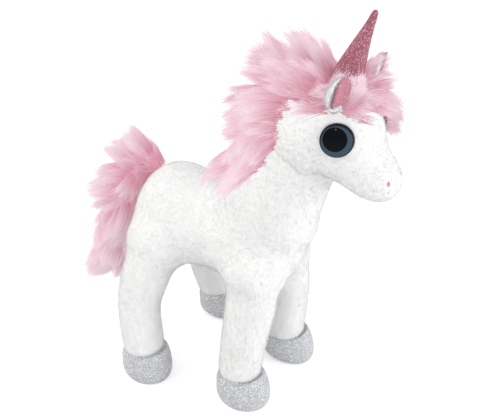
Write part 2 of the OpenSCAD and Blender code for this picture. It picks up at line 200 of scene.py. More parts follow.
@dataclass
class Shell:
    """A mesh as arrays: points in millimetres and faces of three or four corners."""

    points: Array
    faces: Array

    def plus(self, *others: "Shell") -> "Shell":
        """Puts shells side by side in one.

        Args:
            others: the other shells, with as many corners to a face.
        Returns: the joined shell.
        """
        points, faces, count = [self.points], [self.faces], len(self.points)
        for other in others:
            points.append(other.points)
            faces.append(other.faces + count)
            count += len(other.points)
        return Shell(np.vstack(points), np.vstack(faces))

    def object(self, name: str, smooth: bool = True) -> bpy.types.Object:
        """Makes the shell an object at the origin.

        Args:
            name: the object's name.
            smooth: whether its faces shade smoothly.
        Returns: the object, linked to the scene.
        """
        mesh = bpy.data.meshes.new(name)
        corners = self.faces.shape[1]
        mesh.vertices.add(len(self.points))
        mesh.vertices.foreach_set("co", (self.points * MM).astype(np.float32).ravel())
        mesh.loops.add(self.faces.size)
        mesh.loops.foreach_set("vertex_index", self.faces.astype(np.int32).ravel())
        mesh.polygons.add(len(self.faces))
        mesh.polygons.foreach_set("loop_start", np.arange(0, self.faces.size, corners, dtype=np.int32))
        mesh.polygons.foreach_set("use_smooth", np.full(len(self.faces), smooth))
        mesh.update(calc_edges=True)
        piece = bpy.data.objects.new(name, mesh)
        bpy.context.scene.collection.objects.link(piece)
        return piece

    def triangles(self) -> Array:
        """Returns: the faces as rows of three corners."""
        if self.faces.shape[1] == 3:
            return self.faces
        return np.vstack([self.faces[:, [0, 1, 2]], self.faces[:, [0, 2, 3]]])

    def normals(self) -> Array:
        """Returns: a unit normal at each point, weighted by area."""
        tri = self.triangles()
        a, b, c = (self.points[tri[:, k]] for k in range(3))
        cross = np.cross(b - a, c - a)
        total = np.zeros_like(self.points)
        for k in range(3):
            np.add.at(total, tri[:, k], cross)
        return unit(total)

    def relaxed(self, rounds: int, share: float = 0.5) -> "Shell":
        """Evens the surface out by moving each point towards its neighbours' mean.

        Args:
            rounds: how often.
            share: how far each time.
        Returns: the smoother shell.
        """
        n, corners = len(self.points), self.faces.shape[1]
        ends = np.vstack([self.faces[:, [k, (k + 1) % corners]] for k in range(corners)])
        a, b = np.concatenate([ends[:, 0], ends[:, 1]]), np.concatenate([ends[:, 1], ends[:, 0]])
        count = np.maximum(np.bincount(a, minlength=n), 1)[:, None]
        points = self.points
        for _ in range(rounds):
            mean = np.stack([np.bincount(a, points[b, k], n) for k in range(3)], 1) / count
            points = points + share * (mean - points)
        return Shell(points, self.faces)

    def filled(self, rounds: int, share: float = 0.5) -> "Shell":
        """Rounds the hollows where forms meet and leaves the bulges as they are.

        Args:
            rounds: how often.
            share: how far each time.
        Returns: the fuller shell.
        """
        shell = self
        for _ in range(rounds):
            normal = shell.normals()
            rise = ((shell.relaxed(1, share).points - shell.points) * normal).sum(1, keepdims=True)
            shell = Shell(shell.points + np.maximum(rise, 0) * normal, shell.faces)
        return shell

    def part(self, keep: Array) -> "Shell":
        """Takes some of the faces.

        Args:
            keep: which faces, as truth values.
        Returns: those faces with their own points.
        """
        faces = self.faces[keep]
        used, index = np.unique(faces, return_inverse=True)
        return Shell(self.points[used], index.reshape(faces.shape))


def read_shell(mesh: bpy.types.Mesh) -> Shell:
    """Reads a mesh of quads back into arrays.

    Args:
        mesh: the mesh.
    Returns: its shell in millimetres.
    """
    points = np.empty(3 * len(mesh.vertices), np.float32)
    mesh.vertices.foreach_get("co", points)
    faces = np.empty(len(mesh.loops), np.int32)
    mesh.loops.foreach_get("vertex_index", faces)
    return Shell(points.reshape(-1, 3) / MM, faces.reshape(len(mesh.polygons), -1))


def grid(points: Array) -> Shell:
    """Joins a grid of points to quads, each ring closed on itself.

    Args:
        points: rings by sides by three.
    Returns: the shell.
    """
    rings, sides = points.shape[:2]
    i, j = np.meshgrid(np.arange(rings - 1), np.arange(sides), indexing="ij")
    k = (j + 1) % sides
    faces = np.stack([i * sides + j, i * sides + k, (i + 1) * sides + k, (i + 1) * sides + j], -1)
    return Shell(points.reshape(-1, 3), faces.reshape(-1, 4))


def loft(rows: Array, start: float, end: float, rings: int, sides: int) -> Array:
    """Sweeps an ellipse along stations.

    A point is its place on the curve through the stations, plus the half width times the cosine of its angle
    across, plus the half height above or below times the sine upwards; rounded ends shrink both.

    Args:
        rows: x, y, z, half width, half height above, half height below.
        start: power of the first end's rounding, 0 for open.
        end: power of the last end's rounding, 0 for open.
        rings: how many rings.
        sides: how many points to a ring.
    Returns: the points, rings by sides by three.
    """
    u = 0.5 - 0.5 * np.cos(np.linspace(0, np.pi, rings))
    run = spline(rows, u)
    along = unit(np.gradient(run[:, :3], axis=0))
    across = unit(np.array([1.0, 0, 0]) - along * along[:, :1])
    up = np.cross(along, across)
    a = np.linspace(0, TURN, sides, endpoint=False)
    size = girth(u, start, end)[:, None]
    high = np.where(np.sin(a) > 0, run[:, 4:5], run[:, 5:6]) * np.sin(a) * size
    wide = run[:, 3:4] * np.cos(a) * size
    return run[:, None, :3] + wide[..., None] * across[:, None] + high[..., None] * up[:, None]


def ball(middle: Array, half: Array, rings: int = 24, sides: int = 32) -> Shell:
    """Makes an ellipsoid: rings from pole to pole, each as wide as the sine of its angle.

    Args:
        middle: its centre.
        half: its half sizes along x, y and z.
        rings: how many rings.
        sides: how many points to a ring.
    Returns: the shell.
    """
    turn = np.linspace(0, TURN, sides, endpoint=False)
    p, a = np.meshgrid(np.linspace(0, np.pi, rings), turn, indexing="ij")
    return grid(middle + half * np.stack([np.sin(p) * np.cos(a), np.sin(p) * np.sin(a), -np.cos(p)], -1))


def fused(shell: Shell, voxel: float) -> Shell:
    """Makes one closed skin of shells that run into each other.

    Args:
        shell: the shells.
        voxel: the grid of the new skin.
    Returns: the skin, all quads.
    """
    piece = shell.object("fuse")
    remesh = piece.modifiers.new("Skin", "REMESH")
    remesh.mode, remesh.voxel_size = "VOXEL", voxel * MM
    return taken(piece)


def taken(piece: bpy.types.Object) -> Shell:
    """Reads an object as its modifiers leave it and removes the object.

    Args:
        piece: the object.
    Returns: its shell.
    """
    mesh = bpy.data.meshes.new_from_object(piece.evaluated_get(bpy.context.evaluated_depsgraph_get()))
    shell = read_shell(mesh)
    bpy.data.objects.remove(piece)
    return shell


def subdivided(shell: Shell) -> Shell:
    """Rounds a shell with one level of subdivision.

    Args:
        shell: the shell.
    Returns: the finer shell.
    """
    piece = shell.object("round")
    rounding = piece.modifiers.new("Round", "SUBSURF")
    rounding.levels = rounding.render_levels = 1
    return taken(piece)


def puffed(shell: Shell, pressure: float, frames: int, most: float) -> Shell:
    """Fills a skin of cloth from inside.

    Args:
        shell: the skin.
        pressure: the filling's push.
        frames: how long it settles.
        most: the largest move that is kept.
    """
    piece = shell.object("puff")
    cloth = piece.modifiers.new("Filling", "CLOTH")
    cloth.settings.use_pressure = True
    cloth.settings.uniform_pressure_force = pressure
    cloth.settings.effector_weights.gravity = 0
    cloth.settings.quality = 4
    cloth.collision_settings.use_collision = False
    cloth.point_cache.frame_end = frames
    for frame in range(1, frames + 1):
        bpy.context.scene.frame_set(frame)
    full = taken(piece)
    bpy.context.scene.frame_set(1)
    move = full.points - shell.points
    length = np.linalg.norm(move, axis=1, keepdims=True)
    return Shell(shell.points + move * np.minimum(1, most / np.maximum(length, 1e-9)), shell.faces)


# Finishes


class Nodes:
    """Writes the nodes of one material or node group."""

    def __init__(self, tree: bpy.types.NodeTree) -> None:
        """Takes up a tree.

        Args:
            tree: the tree to write in.
        """
        self.tree = tree

    def put(self, node: bpy.types.Node, inputs: Inputs) -> None:
        """Fills a node's inputs.

        Args:
            node: the node.
            inputs: a value to set or a socket to link, by each input's name or number.
        """
        for key, value in inputs.items():
            if isinstance(value, bpy.types.NodeSocket):
                self.tree.links.new(value, node.inputs[key])
            else:
                node.inputs[key].default_value = value

    def add(self, kind: str, inputs: Inputs | None = None, **settings: Setting) -> bpy.types.Node:
        """Adds a node.

        Args:
            kind: its type.
            inputs: values or sockets for its inputs.
            settings: its own settings.
        Returns: the node.
        """
        node = self.tree.nodes.new(kind)
        for key, value in settings.items():
            setattr(node, key, value)
        self.put(node, inputs or {})
        return node

    def math(self, operation: str, *values: Input) -> bpy.types.NodeSocket:
        """Adds a sum.

        Args:
            operation: its name.
            values: its operands.
        Returns: the result's socket.
        """
        return self.add("ShaderNodeMath", dict(enumerate(values)), operation=operation).outputs[0]

    def vector(self, operation: str, inputs: Inputs) -> bpy.types.Node:
        """Adds a sum of vectors.

        Args:
            operation: its name.
            inputs: its operands.
        Returns: the node.
        """
        return self.add("ShaderNodeVectorMath", inputs, operation=operation)

    def blend(self, share: Input, a: Input, b: Input) -> bpy.types.NodeSocket:
        """Mixes two colours.

        Args:
            share: how much of b.
            a: the first colour.
            b: the second.
        Returns: the mixed colour's socket.
        """
        return self.add("ShaderNodeMix", {0: share, 6: a, 7: b}, data_type="RGBA").outputs[2]

    def ramp(self, share: Input, stops: list[tuple[float, Colour]]) -> bpy.types.NodeSocket:
        """Adds a colour ramp.

        Args:
            share: where on the ramp.
            stops: places and colours.
        Returns: the colour's socket.
        """
        node = self.add("ShaderNodeValToRGB", {0: share})
        marks = node.color_ramp.elements
        while len(marks) < len(stops):
            marks.new(0.5)
        for mark, (place, tone) in zip(marks, stops):
            mark.position, mark.color = place, tone
        return node.outputs[0]

    def seen(self) -> bpy.types.NodeSocket:
        """Returns: 1 for rays from the camera, a mirror or glass, which show a thing itself, and else 0."""
        path = self.add("ShaderNodeLightPath").outputs
        direct = self.math("MAXIMUM", path["Is Camera Ray"], path["Is Glossy Ray"])
        return self.math("MAXIMUM", direct, path["Is Transmission Ray"])


def colour(red: int, green: int, blue: int) -> Colour:
    """Turns a colour as a screen shows it into a linear one, by the screen's own power curve.

    Args:
        red: 0 to 255.
        green: 0 to 255.
        blue: 0 to 255.
    Returns: red, green, blue and alpha, linear.
    """
    s = np.array([red, green, blue]) / 255
    return (*np.where(s < 0.04045, s / 12.92, ((s + 0.055) / 1.055) ** 2.4).tolist(), 1.0)


def group(
    name: str, inputs: dict[str, str], outputs: dict[str, str]
) -> tuple[Nodes, bpy.types.Node, bpy.types.Node]:
    """Starts a shader node group.

    Args:
        name: the group's name.
        inputs: its inputs and their socket types.
        outputs: its outputs and their socket types.
    Returns: its writer, its input node and its output node.
    """
    tree = bpy.data.node_groups.new(name, "ShaderNodeTree")
    for word, kind in inputs.items():
        tree.interface.new_socket(word, in_out="INPUT", socket_type=kind)
    for word, kind in outputs.items():
        tree.interface.new_socket(word, in_out="OUTPUT", socket_type=kind)
    return Nodes(tree), tree.nodes.new("NodeGroupInput"), tree.nodes.new("NodeGroupOutput")


@cache
def nap_group() -> bpy.types.NodeTree:
    """Returns: the group that gives short pile its fine unevenness."""
    n, start, end = group("Nap", {"Light": COLOUR, "Shade": COLOUR}, {"Color": COLOUR, "Height": FLOAT})
    place = n.add("ShaderNodeTexCoord").outputs["Object"]
    tufts = n.add("ShaderNodeTexNoise", {"Vector": place, "Scale": 900.0, "Detail": 3.0, "Roughness": 0.7})
    folds = n.add("ShaderNodeTexNoise", {"Vector": place, "Scale": 70.0, "Detail": 2.0})
    fine = n.math("MULTIPLY", tufts.outputs[0], 0.6)
    broad = n.math("MULTIPLY", folds.outputs[0], 0.4)
    share = n.math("ADD", fine, broad)
    worn = n.add("ShaderNodeMapRange", {"Value": share, "From Min": 0.35, "From Max": 0.6})
    tone = n.blend(worn.outputs[0], start.outputs["Shade"], start.outputs["Light"])
    n.put(end, {"Color": tone, "Height": tufts.outputs[0]})
    return n.tree


@cache
def glitter_group() -> bpy.types.NodeTree:
    """Returns: the group that scatters small bright flakes over cloth."""
    n, start, end = group(
        "Glitter",
        {"Cloth": COLOUR, "Shade": COLOUR, "Flake": COLOUR, "Scale": FLOAT, "Share": FLOAT},
        {"Color": COLOUR, "Flakes": FLOAT, "Height": FLOAT},
    )
    place = n.add("ShaderNodeTexCoord").outputs["Object"]
    cells = n.add("ShaderNodeTexVoronoi", {"Vector": place, "Scale": start.outputs["Scale"]}, feature="F1")
    pick = n.add("ShaderNodeSeparateColor", {0: cells.outputs["Color"]})
    patch = n.add("ShaderNodeTexNoise", {"Vector": place, "Scale": 180.0, "Detail": 3.0})
    share = n.math("MULTIPLY", start.outputs["Share"], n.math("ADD", patch.outputs[0], 0.5))
    flakes = n.math("GREATER_THAN", pick.outputs[0], n.math("SUBTRACT", 1.0, share))
    cloth = n.blend(pick.outputs[1], start.outputs["Shade"], start.outputs["Cloth"])
    tone = n.blend(flakes, cloth, start.outputs["Flake"])
    n.put(end, {"Color": tone, "Flakes": flakes, "Height": n.math("ADD", pick.outputs[2], patch.outputs[0])})
    return n.tree


@cache
def strand_group() -> bpy.types.NodeTree:
    """Returns: the group that colours strands from root to tip, by the strands' own map; the darker roots
    are partly the fibres' own tone and partly painted shade of the pile's depth.
    """
    words = {"Root": COLOUR, "Deep": COLOUR, "Tip": COLOUR, "Pale": COLOUR}
    n, start, end = group("Strand", words, {"Color": COLOUR})
    place = n.add("ShaderNodeSeparateXYZ", {0: n.add("ShaderNodeUVMap", uv_map=STRAND_UV).outputs[0]})
    # Painted shade: the colour darkens towards the root, where the depth of the pile is shaded.
    rise = n.add("ShaderNodeMapRange", {"Value": place.outputs[1], "From Min": 0.05, "From Max": 0.8})
    deep = n.blend(rise.outputs[0], start.outputs["Root"], start.outputs["Deep"])
    pale = n.blend(rise.outputs[0], start.outputs["Tip"], start.outputs["Pale"])
    n.put(end, {"Color": n.blend(place.outputs[0], deep, pale)})
    return n.tree


def new_material(name: str) -> tuple[bpy.types.Material, Nodes, bpy.types.Node]:
    """Starts a material.

    Args:
        name: its name.
    Returns: the material, its writer and its Principled shader.
    """
    made = bpy.data.materials.new(name)
    made.use_nodes = True
    return made, Nodes(made.node_tree), made.node_tree.nodes["Principled BSDF"]


@dataclass(frozen=True)
class Plush:
    """Short dense pile."""

    name: str
    light: Colour = colour(250, 250, 249)
    shade: Colour = colour(246, 246, 246)

    def material(self) -> bpy.types.Material:
        """Returns: the material."""
        made, n, shader = new_material(self.name)
        nap = n.add("ShaderNodeGroup", {"Light": self.light, "Shade": self.shade}, node_tree=nap_group())
        height = nap.outputs["Height"]
        bump = n.add("ShaderNodeBump", {"Strength": 0.25, "Distance": 0.0004, "Height": height})
        n.put(shader, {
            "Base Color": nap.outputs["Color"],
            "Normal": bump.outputs[0],
            "Roughness": 0.95,
            "Specular IOR Level": 0.15,
            "Sheen Weight": 0.15,
            "Sheen Roughness": 0.6,
        })
        return made


@dataclass(frozen=True)
class Pile:
    """Fibres that stand free, dark at the root of the deepest ones and pale at the tips of the lightest; the
    dark roots are partly the fibres' own tone and partly painted shade.
    """

    name: str
    root: Colour
    deep: Colour
    tip: Colour
    pale: Colour
    roughness: float

    def material(self) -> bpy.types.Material:
        """Returns: the material."""
        made, n, shader = new_material(self.name)
        tones = {"Root": self.root, "Deep": self.deep, "Tip": self.tip, "Pale": self.pale}
        n.put(shader, {
            "Base Color": n.add("ShaderNodeGroup", tones, node_tree=strand_group()).outputs[0],
            "Roughness": self.roughness,
            "Specular IOR Level": 0.2,
            "Sheen Weight": 0.1,
            "Sheen Roughness": 0.5,
            "Sheen Tint": self.pale,
        })
        return made


@dataclass(frozen=True)
class Glitter:
    """Cloth with fine flakes stuck on it."""

    name: str
    cloth: Colour
    shade: Colour
    flake: Colour
    flake_size: float
    share: float

    def material(self) -> bpy.types.Material:
        """Returns: the material."""
        made, n, shader = new_material(self.name)
        inputs = {"Cloth": self.cloth, "Shade": self.shade, "Flake": self.flake}
        inputs |= {"Scale": 1 / (self.flake_size * MM), "Share": self.share}
        flakes = n.add("ShaderNodeGroup", inputs, node_tree=glitter_group()).outputs
        rough = n.add("ShaderNodeMapRange", {"Value": flakes["Flakes"], "To Min": 0.7, "To Max": 0.25})
        bump = n.add("ShaderNodeBump", {"Strength": 0.6, "Distance": 0.0003, "Height": flakes["Height"]})
        n.put(shader, {
            "Base Color": flakes["Color"],
            "Roughness": rough.outputs[0],
            "Normal": bump.outputs[0],
            "Specular IOR Level": 0.5,
        })
        return made


@dataclass(frozen=True)
class DomedEye:
    """A glossy eye: black pupil, slate ring and a dark rim, drawn about the eye's own axis."""

    name: str
    pupil: Colour = colour(3, 6, 11)
    ring: Colour = colour(60, 78, 92)
    rim: Colour = colour(14, 18, 32)
    pupil_edge: tuple[float, float] = (0.70, 0.73)
    ring_edge: tuple[float, float] = (0.88, 0.94)

    def material(self, middle: Array, axis: Array, radius: float, shift: Array) -> bpy.types.Material:
        """Writes the material.

        Args:
            middle: the eye's centre.
            axis: the way it looks.
            radius: its radius.
            shift: from the eye's centre to the pupil's.
        Returns: the material.
        """
        made, n, shader = new_material(self.name)
        place = n.add("ShaderNodeTexCoord").outputs["Object"]
        look = Vector(axis)

        def from_axis(centre: Array) -> bpy.types.NodeSocket:
            """Measures from a line along the axis: the length of what is left without the depth along it.

            Args:
                centre: a point on the line.
            Returns: the distance as a share of the eye's radius.
            """
            local = n.vector("SUBTRACT", {0: place, 1: Vector(centre * MM)}).outputs[0]
            depth = n.vector("DOT_PRODUCT", {0: local, 1: look}).outputs["Value"]
            along = n.vector("SCALE", {0: look, "Scale": depth}).outputs[0]
            flat = n.vector("SUBTRACT", {0: local, 1: along}).outputs[0]
            return n.math("DIVIDE", n.vector("LENGTH", {0: flat}).outputs["Value"], radius * MM)

        outer = n.ramp(from_axis(middle), list(zip(self.ring_edge, (self.ring, self.rim))))
        bright = n.ramp(from_axis(middle + shift), list(zip(self.pupil_edge, (BLACK, WHITE))))
        n.put(shader, {
            "Base Color": n.blend(bright, self.pupil, outer),
            "Roughness": 0.04,
            "Specular IOR Level": 0.08,
        })
        return made


@dataclass(frozen=True)
class Plain:
    """One colour with one roughness and a fine grain."""

    name: str
    base: Colour
    roughness: float
    grain: float = 2500.0
    dark: float = 0.86

    def material(self) -> bpy.types.Material:
        """Returns: the material."""
        made, n, shader = new_material(self.name)
        place = n.add("ShaderNodeTexCoord").outputs["Object"]
        noise = n.add("ShaderNodeTexNoise", {"Vector": place, "Scale": self.grain, "Detail": 2.0})
        bump = n.add("ShaderNodeBump", {"Strength": 0.2, "Distance": 0.0002, "Height": noise.outputs[0]})
        shade = tuple(self.dark * c for c in self.base[:3]) + (1.0,)
        n.put(shader, {
            "Base Color": n.blend(noise.outputs[0], shade, self.base),
            "Normal": bump.outputs[0],
            "Roughness": self.roughness,
        })
        return made


class Finishes:
    """The materials that several pieces share."""

    def __init__(self) -> None:
        """Makes the materials."""
        self.plush = Plush("white plush").material()
        self.nap = Pile(
            "white pile",
            # The darker root is painted shade between the fibres.
            root=colour(243, 243, 243),
            deep=colour(248, 248, 248),
            tip=colour(248, 248, 248),
            pale=colour(254, 254, 254),
            roughness=0.95,
        ).material()
        self.hair = Pile(
            "pink pile",
            # The dark root is partly the pile's own deeper pink and partly painted shade of the depth
            # between the strands.
            root=colour(196, 106, 133),
            deep=colour(230, 189, 203),
            tip=colour(214, 148, 170),
            pale=colour(241, 219, 228),
            roughness=0.8,
        ).material()
        self.base = Plush("pink base", colour(226, 165, 185), colour(212, 145, 166)).material()
        rose = (colour(172, 98, 114), colour(150, 76, 94), colour(250, 222, 229))
        self.rose = Glitter("rose glitter", *rose, flake_size=0.2, share=0.07).material()
        # Painted light: the lining is a lighter copy of the horn's rose glitter, to make up for the shade in
        # the ear's cup.
        lining = (colour(204, 134, 152), colour(184, 110, 130), colour(250, 226, 232))
        self.lining = Glitter("rose lining", *lining, flake_size=0.2, share=0.05).material()
        silver = (colour(208, 209, 212), colour(168, 170, 176), colour(255, 255, 255))
        self.silver = Glitter("silver glitter", *silver, flake_size=0.3, share=0.14).material()


def dress(piece: bpy.types.Object, material: bpy.types.Material) -> bpy.types.Object:
    """Gives an object one material and reports it.

    Args:
        piece: the object.
        material: the material.
    Returns: the object.
    """
    piece.data.materials.clear()
    piece.data.materials.append(material)
    LOG.info("%s: %d faces of %s", piece.name, len(piece.data.polygons), material.name)
    return piece


def settle(piece: bpy.types.Object, body: str, slot: Slot, *nodes: str) -> None:
    """Sets a piece on its body.

    Args:
        piece: the piece.
        body: the body that it rides on.
        slot: its finish; not used.
        nodes: the CAD nodes that it stands for.
    """
    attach(piece, body)
    if nodes:
        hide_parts(*nodes)


# Fibres


def map_strands(piece: bpy.types.Object, uv: Array) -> None:
    """Writes the strands' own map.

    Args:
        piece: the object.
        uv: tone and height for each corner of each face.
    """
    layer = piece.data.uv_layers.new(name=STRAND_UV)
    layer.data.foreach_set("uv", np.clip(uv, 0.001, 0.999).astype(np.float32).ravel())


def picked_faces(shell: Shell, count: int, rng: np.random.Generator) -> Array:
    """Picks triangles of a skin, each as likely as its area.

    Args:
        shell: the skin.
        count: how many.
        rng: the generator.
    Returns: the three corners of each pick.
    """
    tri = shell.triangles()
    a, b, c = (shell.points[tri[:, k]] for k in range(3))
    area = np.linalg.norm(np.cross(b - a, c - a), axis=1)
    return tri[rng.choice(len(tri), count, p=area / area.sum())]


@dataclass
class Nap:
    """Short fibres that grow out of a skin."""

    seed: int
    length: float = 0.9
    lengths: tuple[float, float] = (0.6, 1.15)
    root: float = 0.08
    sunk: float = 0.2
    lean: float = 0.55
    stray: float = 0.4
    seam: float = 0.01

    def grow(
        self, name: str, shell: Shell, count: int, comb: Place, bare: Array | None = None
    ) -> bpy.types.Object:
        """Grows the fibres.

        A fibre is a spike on three corners. It follows the skin's normal, plus the comb's share along the
        skin, plus a stray of its own.

        Args:
            name: the new object's name.
            shell: the skin.
            count: how many fibres.
            comb: the way the pile is brushed.
            bare: points as x, y, z, radius, round which nothing grows.
        Returns: the fibres' object, shaded as the skin under them.
        """
        rng = np.random.default_rng(self.seed)
        corners = picked_faces(shell, count, rng)
        r = np.sqrt(rng.random((count, 1)))
        s = rng.random((count, 1))
        share = np.concatenate([1 - r, r * (1 - s), r * s], 1)[..., None]
        root = (shell.points[corners] * share).sum(1)
        skin = unit((shell.normals()[corners] * share).sum(1))
        if bare is not None:
            far = np.linalg.norm(root[:, None] - bare[None, :, :3], axis=2) > bare[None, :, 3]
            root, skin = root[far.all(1)], skin[far.all(1)]
            count = len(root)
        brush = np.array(comb) - skin * (skin @ np.array(comb))[:, None]
        aim = unit(skin + self.lean * brush + self.stray * rng.normal(size=(count, 3)))
        tip = root + aim * self.length * rng.uniform(*self.lengths, (count, 1))
        side = unit(np.cross(aim, rng.normal(size=(count, 3))))
        other = np.cross(aim, side)
        turn = np.arange(3) * TURN / 3
        ring = np.cos(turn)[:, None] * side[:, None] + np.sin(turn)[:, None] * other[:, None]
        foot = root[:, None] + self.root * ring
        points = np.concatenate([foot - self.sunk * skin[:, None], tip[:, None]], 1).reshape(-1, 3)
        base = 4 * np.arange(count)[:, None, None]
        faces = (base + np.array([[0, 1, 3], [1, 2, 3], [2, 0, 3]])).reshape(-1, 3)
        piece = Shell(points, faces).object(name)
        tone = np.repeat(rng.uniform(0, 1, count), 9)[:, None]
        height = np.tile([0.0, 0.0, 1.0], 3 * count)[:, None]
        wide = np.tile([-self.seam, self.seam, 0.0], 3 * count)[:, None]
        map_strands(piece, np.hstack([tone + wide, height]))
        piece.data.normals_split_custom_set_from_vertices(np.repeat(skin, 4, axis=0))
        return piece


@dataclass
class Locks:
    """Locks of long pile, each a curve from root to tip with its width, tone and the heart it lies round."""

    root: Array
    tip: Array
    bend: Array
    wide: Array
    tone: Array
    heart: Array


@dataclass
class LongPile:
    """Ribbons of fibre gathered loosely into locks."""

    seed: int
    per_lock: int = 100
    steps: int = 6
    width: float = 0.25
    taper: float = 0.85
    flat: float = 0.5
    gathered: float = 0.12
    wave: float = 0.28
    phases: float = 6.3
    stray: float = 0.8
    loose_share: float = 0.15
    loose_times: float = 2.4
    starts: tuple[float, float] = (-0.06, 0.3)
    ends: tuple[float, float] = (0.66, 1.08)
    turned: float = 0.3
    tones: float = 0.22
    seam: float = 0.01

    def grow(self, name: str, locks: Locks) -> bpy.types.Object:
        """Grows the strands.

        A strand follows its lock's parabola over a stretch of its own, set off from it by a share of the
        lock's width that shrinks towards the tip, with a slow wave and a tip of its own.

        Args:
            name: the new object's name.
            locks: the locks.
        Returns: the strands' object, its ribbons facing away from their locks' hearts.
        """
        rng = np.random.default_rng(self.seed)
        lock = np.repeat(np.arange(len(locks.root)), self.per_lock)
        count = len(lock)
        each = (count, 1)
        run = np.linspace(0, 1, self.steps)
        first = rng.uniform(*self.starts, each)
        last = rng.uniform(*self.ends, each)
        t = first + (last - first) * run
        root, tip, heart, bend = (v[lock][:, None] for v in (locks.root, locks.tip, locks.heart, locks.bend))
        loose = self.stray * np.where(rng.random((count, 1, 1)) < self.loose_share, self.loose_times, 1.0)
        tip = tip + loose * rng.normal(size=(count, 1, 3))
        s = t[..., None]
        line = (1 - s) ** 2 * root + 2 * s * (1 - s) * (0.5 * (root + tip) + bend) + s**2 * tip
        axis = unit(tip - root)
        side = unit(np.cross(axis, root - heart))
        face = np.cross(side, axis)
        angle = rng.uniform(0, TURN, each)
        reach = np.sqrt(rng.uniform(0, 1, each))
        shrink = self.gathered + (1 - self.gathered) * (1 - np.clip(t, 0, 1)) ** 0.75
        gather = locks.wide[lock][:, None] * shrink
        sway = self.wave * t * np.sin(5 * t + rng.uniform(0, self.phases, each))
        lift = self.wave * t * np.sin(4 * t + rng.uniform(0, self.phases, each))
        u = reach * np.cos(angle) * gather + sway
        v = reach * np.abs(np.sin(angle)) * gather * self.flat + lift
        line = line + u[..., None] * side + v[..., None] * face
        along = unit(np.gradient(line, axis=1))
        rounded = 0.6 * (reach * np.cos(angle))[..., None] * side
        out = face + rounded + self.turned * rng.normal(size=(count, 1, 3))
        across = unit(np.cross(along, out))
        half = 0.5 * self.width * (1 - run**2.2 * self.taper)[None, :, None]
        points = np.stack([line - half * across, line + half * across], 2)
        k = np.arange(self.steps - 1)
        quad = np.stack([2 * k, 2 * k + 1, 2 * k + 3, 2 * k + 2], 1)
        faces = (quad[None] + 2 * self.steps * np.arange(count)[:, None, None]).reshape(-1, 4)
        piece = Shell(points.reshape(-1, 3), faces).object(name)
        tone = np.clip(locks.tone[lock] + self.tones * rng.normal(size=count), 0.02, 0.98)
        wide = self.seam * np.array([-1, 1, 1, -1])
        height = np.stack([t[:, :-1], t[:, :-1], t[:, 1:], t[:, 1:]], 2)
        uv = np.stack(np.broadcast_arrays(tone[:, None, None] + wide, height), -1)
        map_strands(piece, uv.reshape(-1, 2))
        return piece


# Sub-assemblies


def node_shell(node: str) -> Shell:
    """Reads a CAD node.

    Args:
        node: its name.
    Returns: its triangles.
    """
    return read_shell(bpy.data.objects[node].data)


def softened(node: str, voxel: float, rounds: int, grow: float = 0.0) -> Shell:
    """Makes a CAD node a smooth skin of cloth.

    Args:
        node: its name.
        voxel: the grid of the new skin.
        rounds: how much it is smoothed.
        grow: how far it is pushed out.
    Returns: the skin.
    """
    skin = fused(node_shell(node), voxel).relaxed(rounds)
    return Shell(skin.points + grow * skin.normals(), skin.faces)


@dataclass
class Build:
    """The driving sizes of the animal, as the part's source has them."""

    barrel_len: float = 90.0
    barrel_w: float = 44.0
    barrel_h: float = 46.0
    belly_z: float = 55.0
    rump_y: float = 42.595
    neck_w: float = 31.0
    neck_depth: float = 35.0
    head_mid: Array = field(default_factory=lambda: np.array([0.0, -47.655, 137.5]))
    front_y: float = -24.405
    hind_y: float = 21.095
    hip_z: float = 66.5
    leg_d: float = 22.0
    ankle_d: float = 19.5
    front_track: float = 40.0
    hind_track: float = 62.5
    shoulder_track: float = 27.0
    hip_track: float = 35.0
    hoof_h: float = 13.5
    pile: float = 0.9

    @property
    def barrel_z(self) -> float:
        """Returns: the height of the barrel's middle."""
        return self.belly_z + self.barrel_h / 2


@dataclass(kw_only=True)
class Clad(ABC):
    """A part of the body under the one white skin."""

    build: Build
    fibres: int
    comb: Place
    padding: float = 0.8

    @property
    @abstractmethod
    def name(self) -> str:
        """Returns: the name of the part's body."""

    @property
    @abstractmethod
    def stem(self) -> str:
        """Returns: how the names of its CAD nodes begin."""

    @abstractmethod
    def shells(self) -> list[Shell]:
        """Returns: the stuffed forms that the skin runs over."""

    @abstractmethod
    def hang(self, piece: bpy.types.Object) -> None:
        """Lets a piece move with the part.

        Args:
            piece: the piece.
        """

    def cover(self, skin: Shell, mine: Array, seed: int, finishes: Finishes) -> Shell:
        """Cuts the part's own cloth out of the skin and grows its nap.

        Args:
            skin: the whole skin.
            mine: which of its faces are this part's.
            seed: of the nap.
            finishes: the shared materials.
        Returns: the part's own skin.
        """
        part = skin.part(mine)
        cloth = dress(part.object(f"{self.name}_skin"), finishes.plush)
        cloth.data.normals_split_custom_set_from_vertices(skin.normals()[np.unique(skin.faces[mine])])
        nap = dress(Nap(seed).grow(f"{self.name}_pile", part, self.fibres, self.comb), finishes.nap)
        for piece in (cloth, nap):
            self.hang(piece)
        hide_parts(f"{self.stem}_cover", f"{self.stem}_stuffing")
        return part


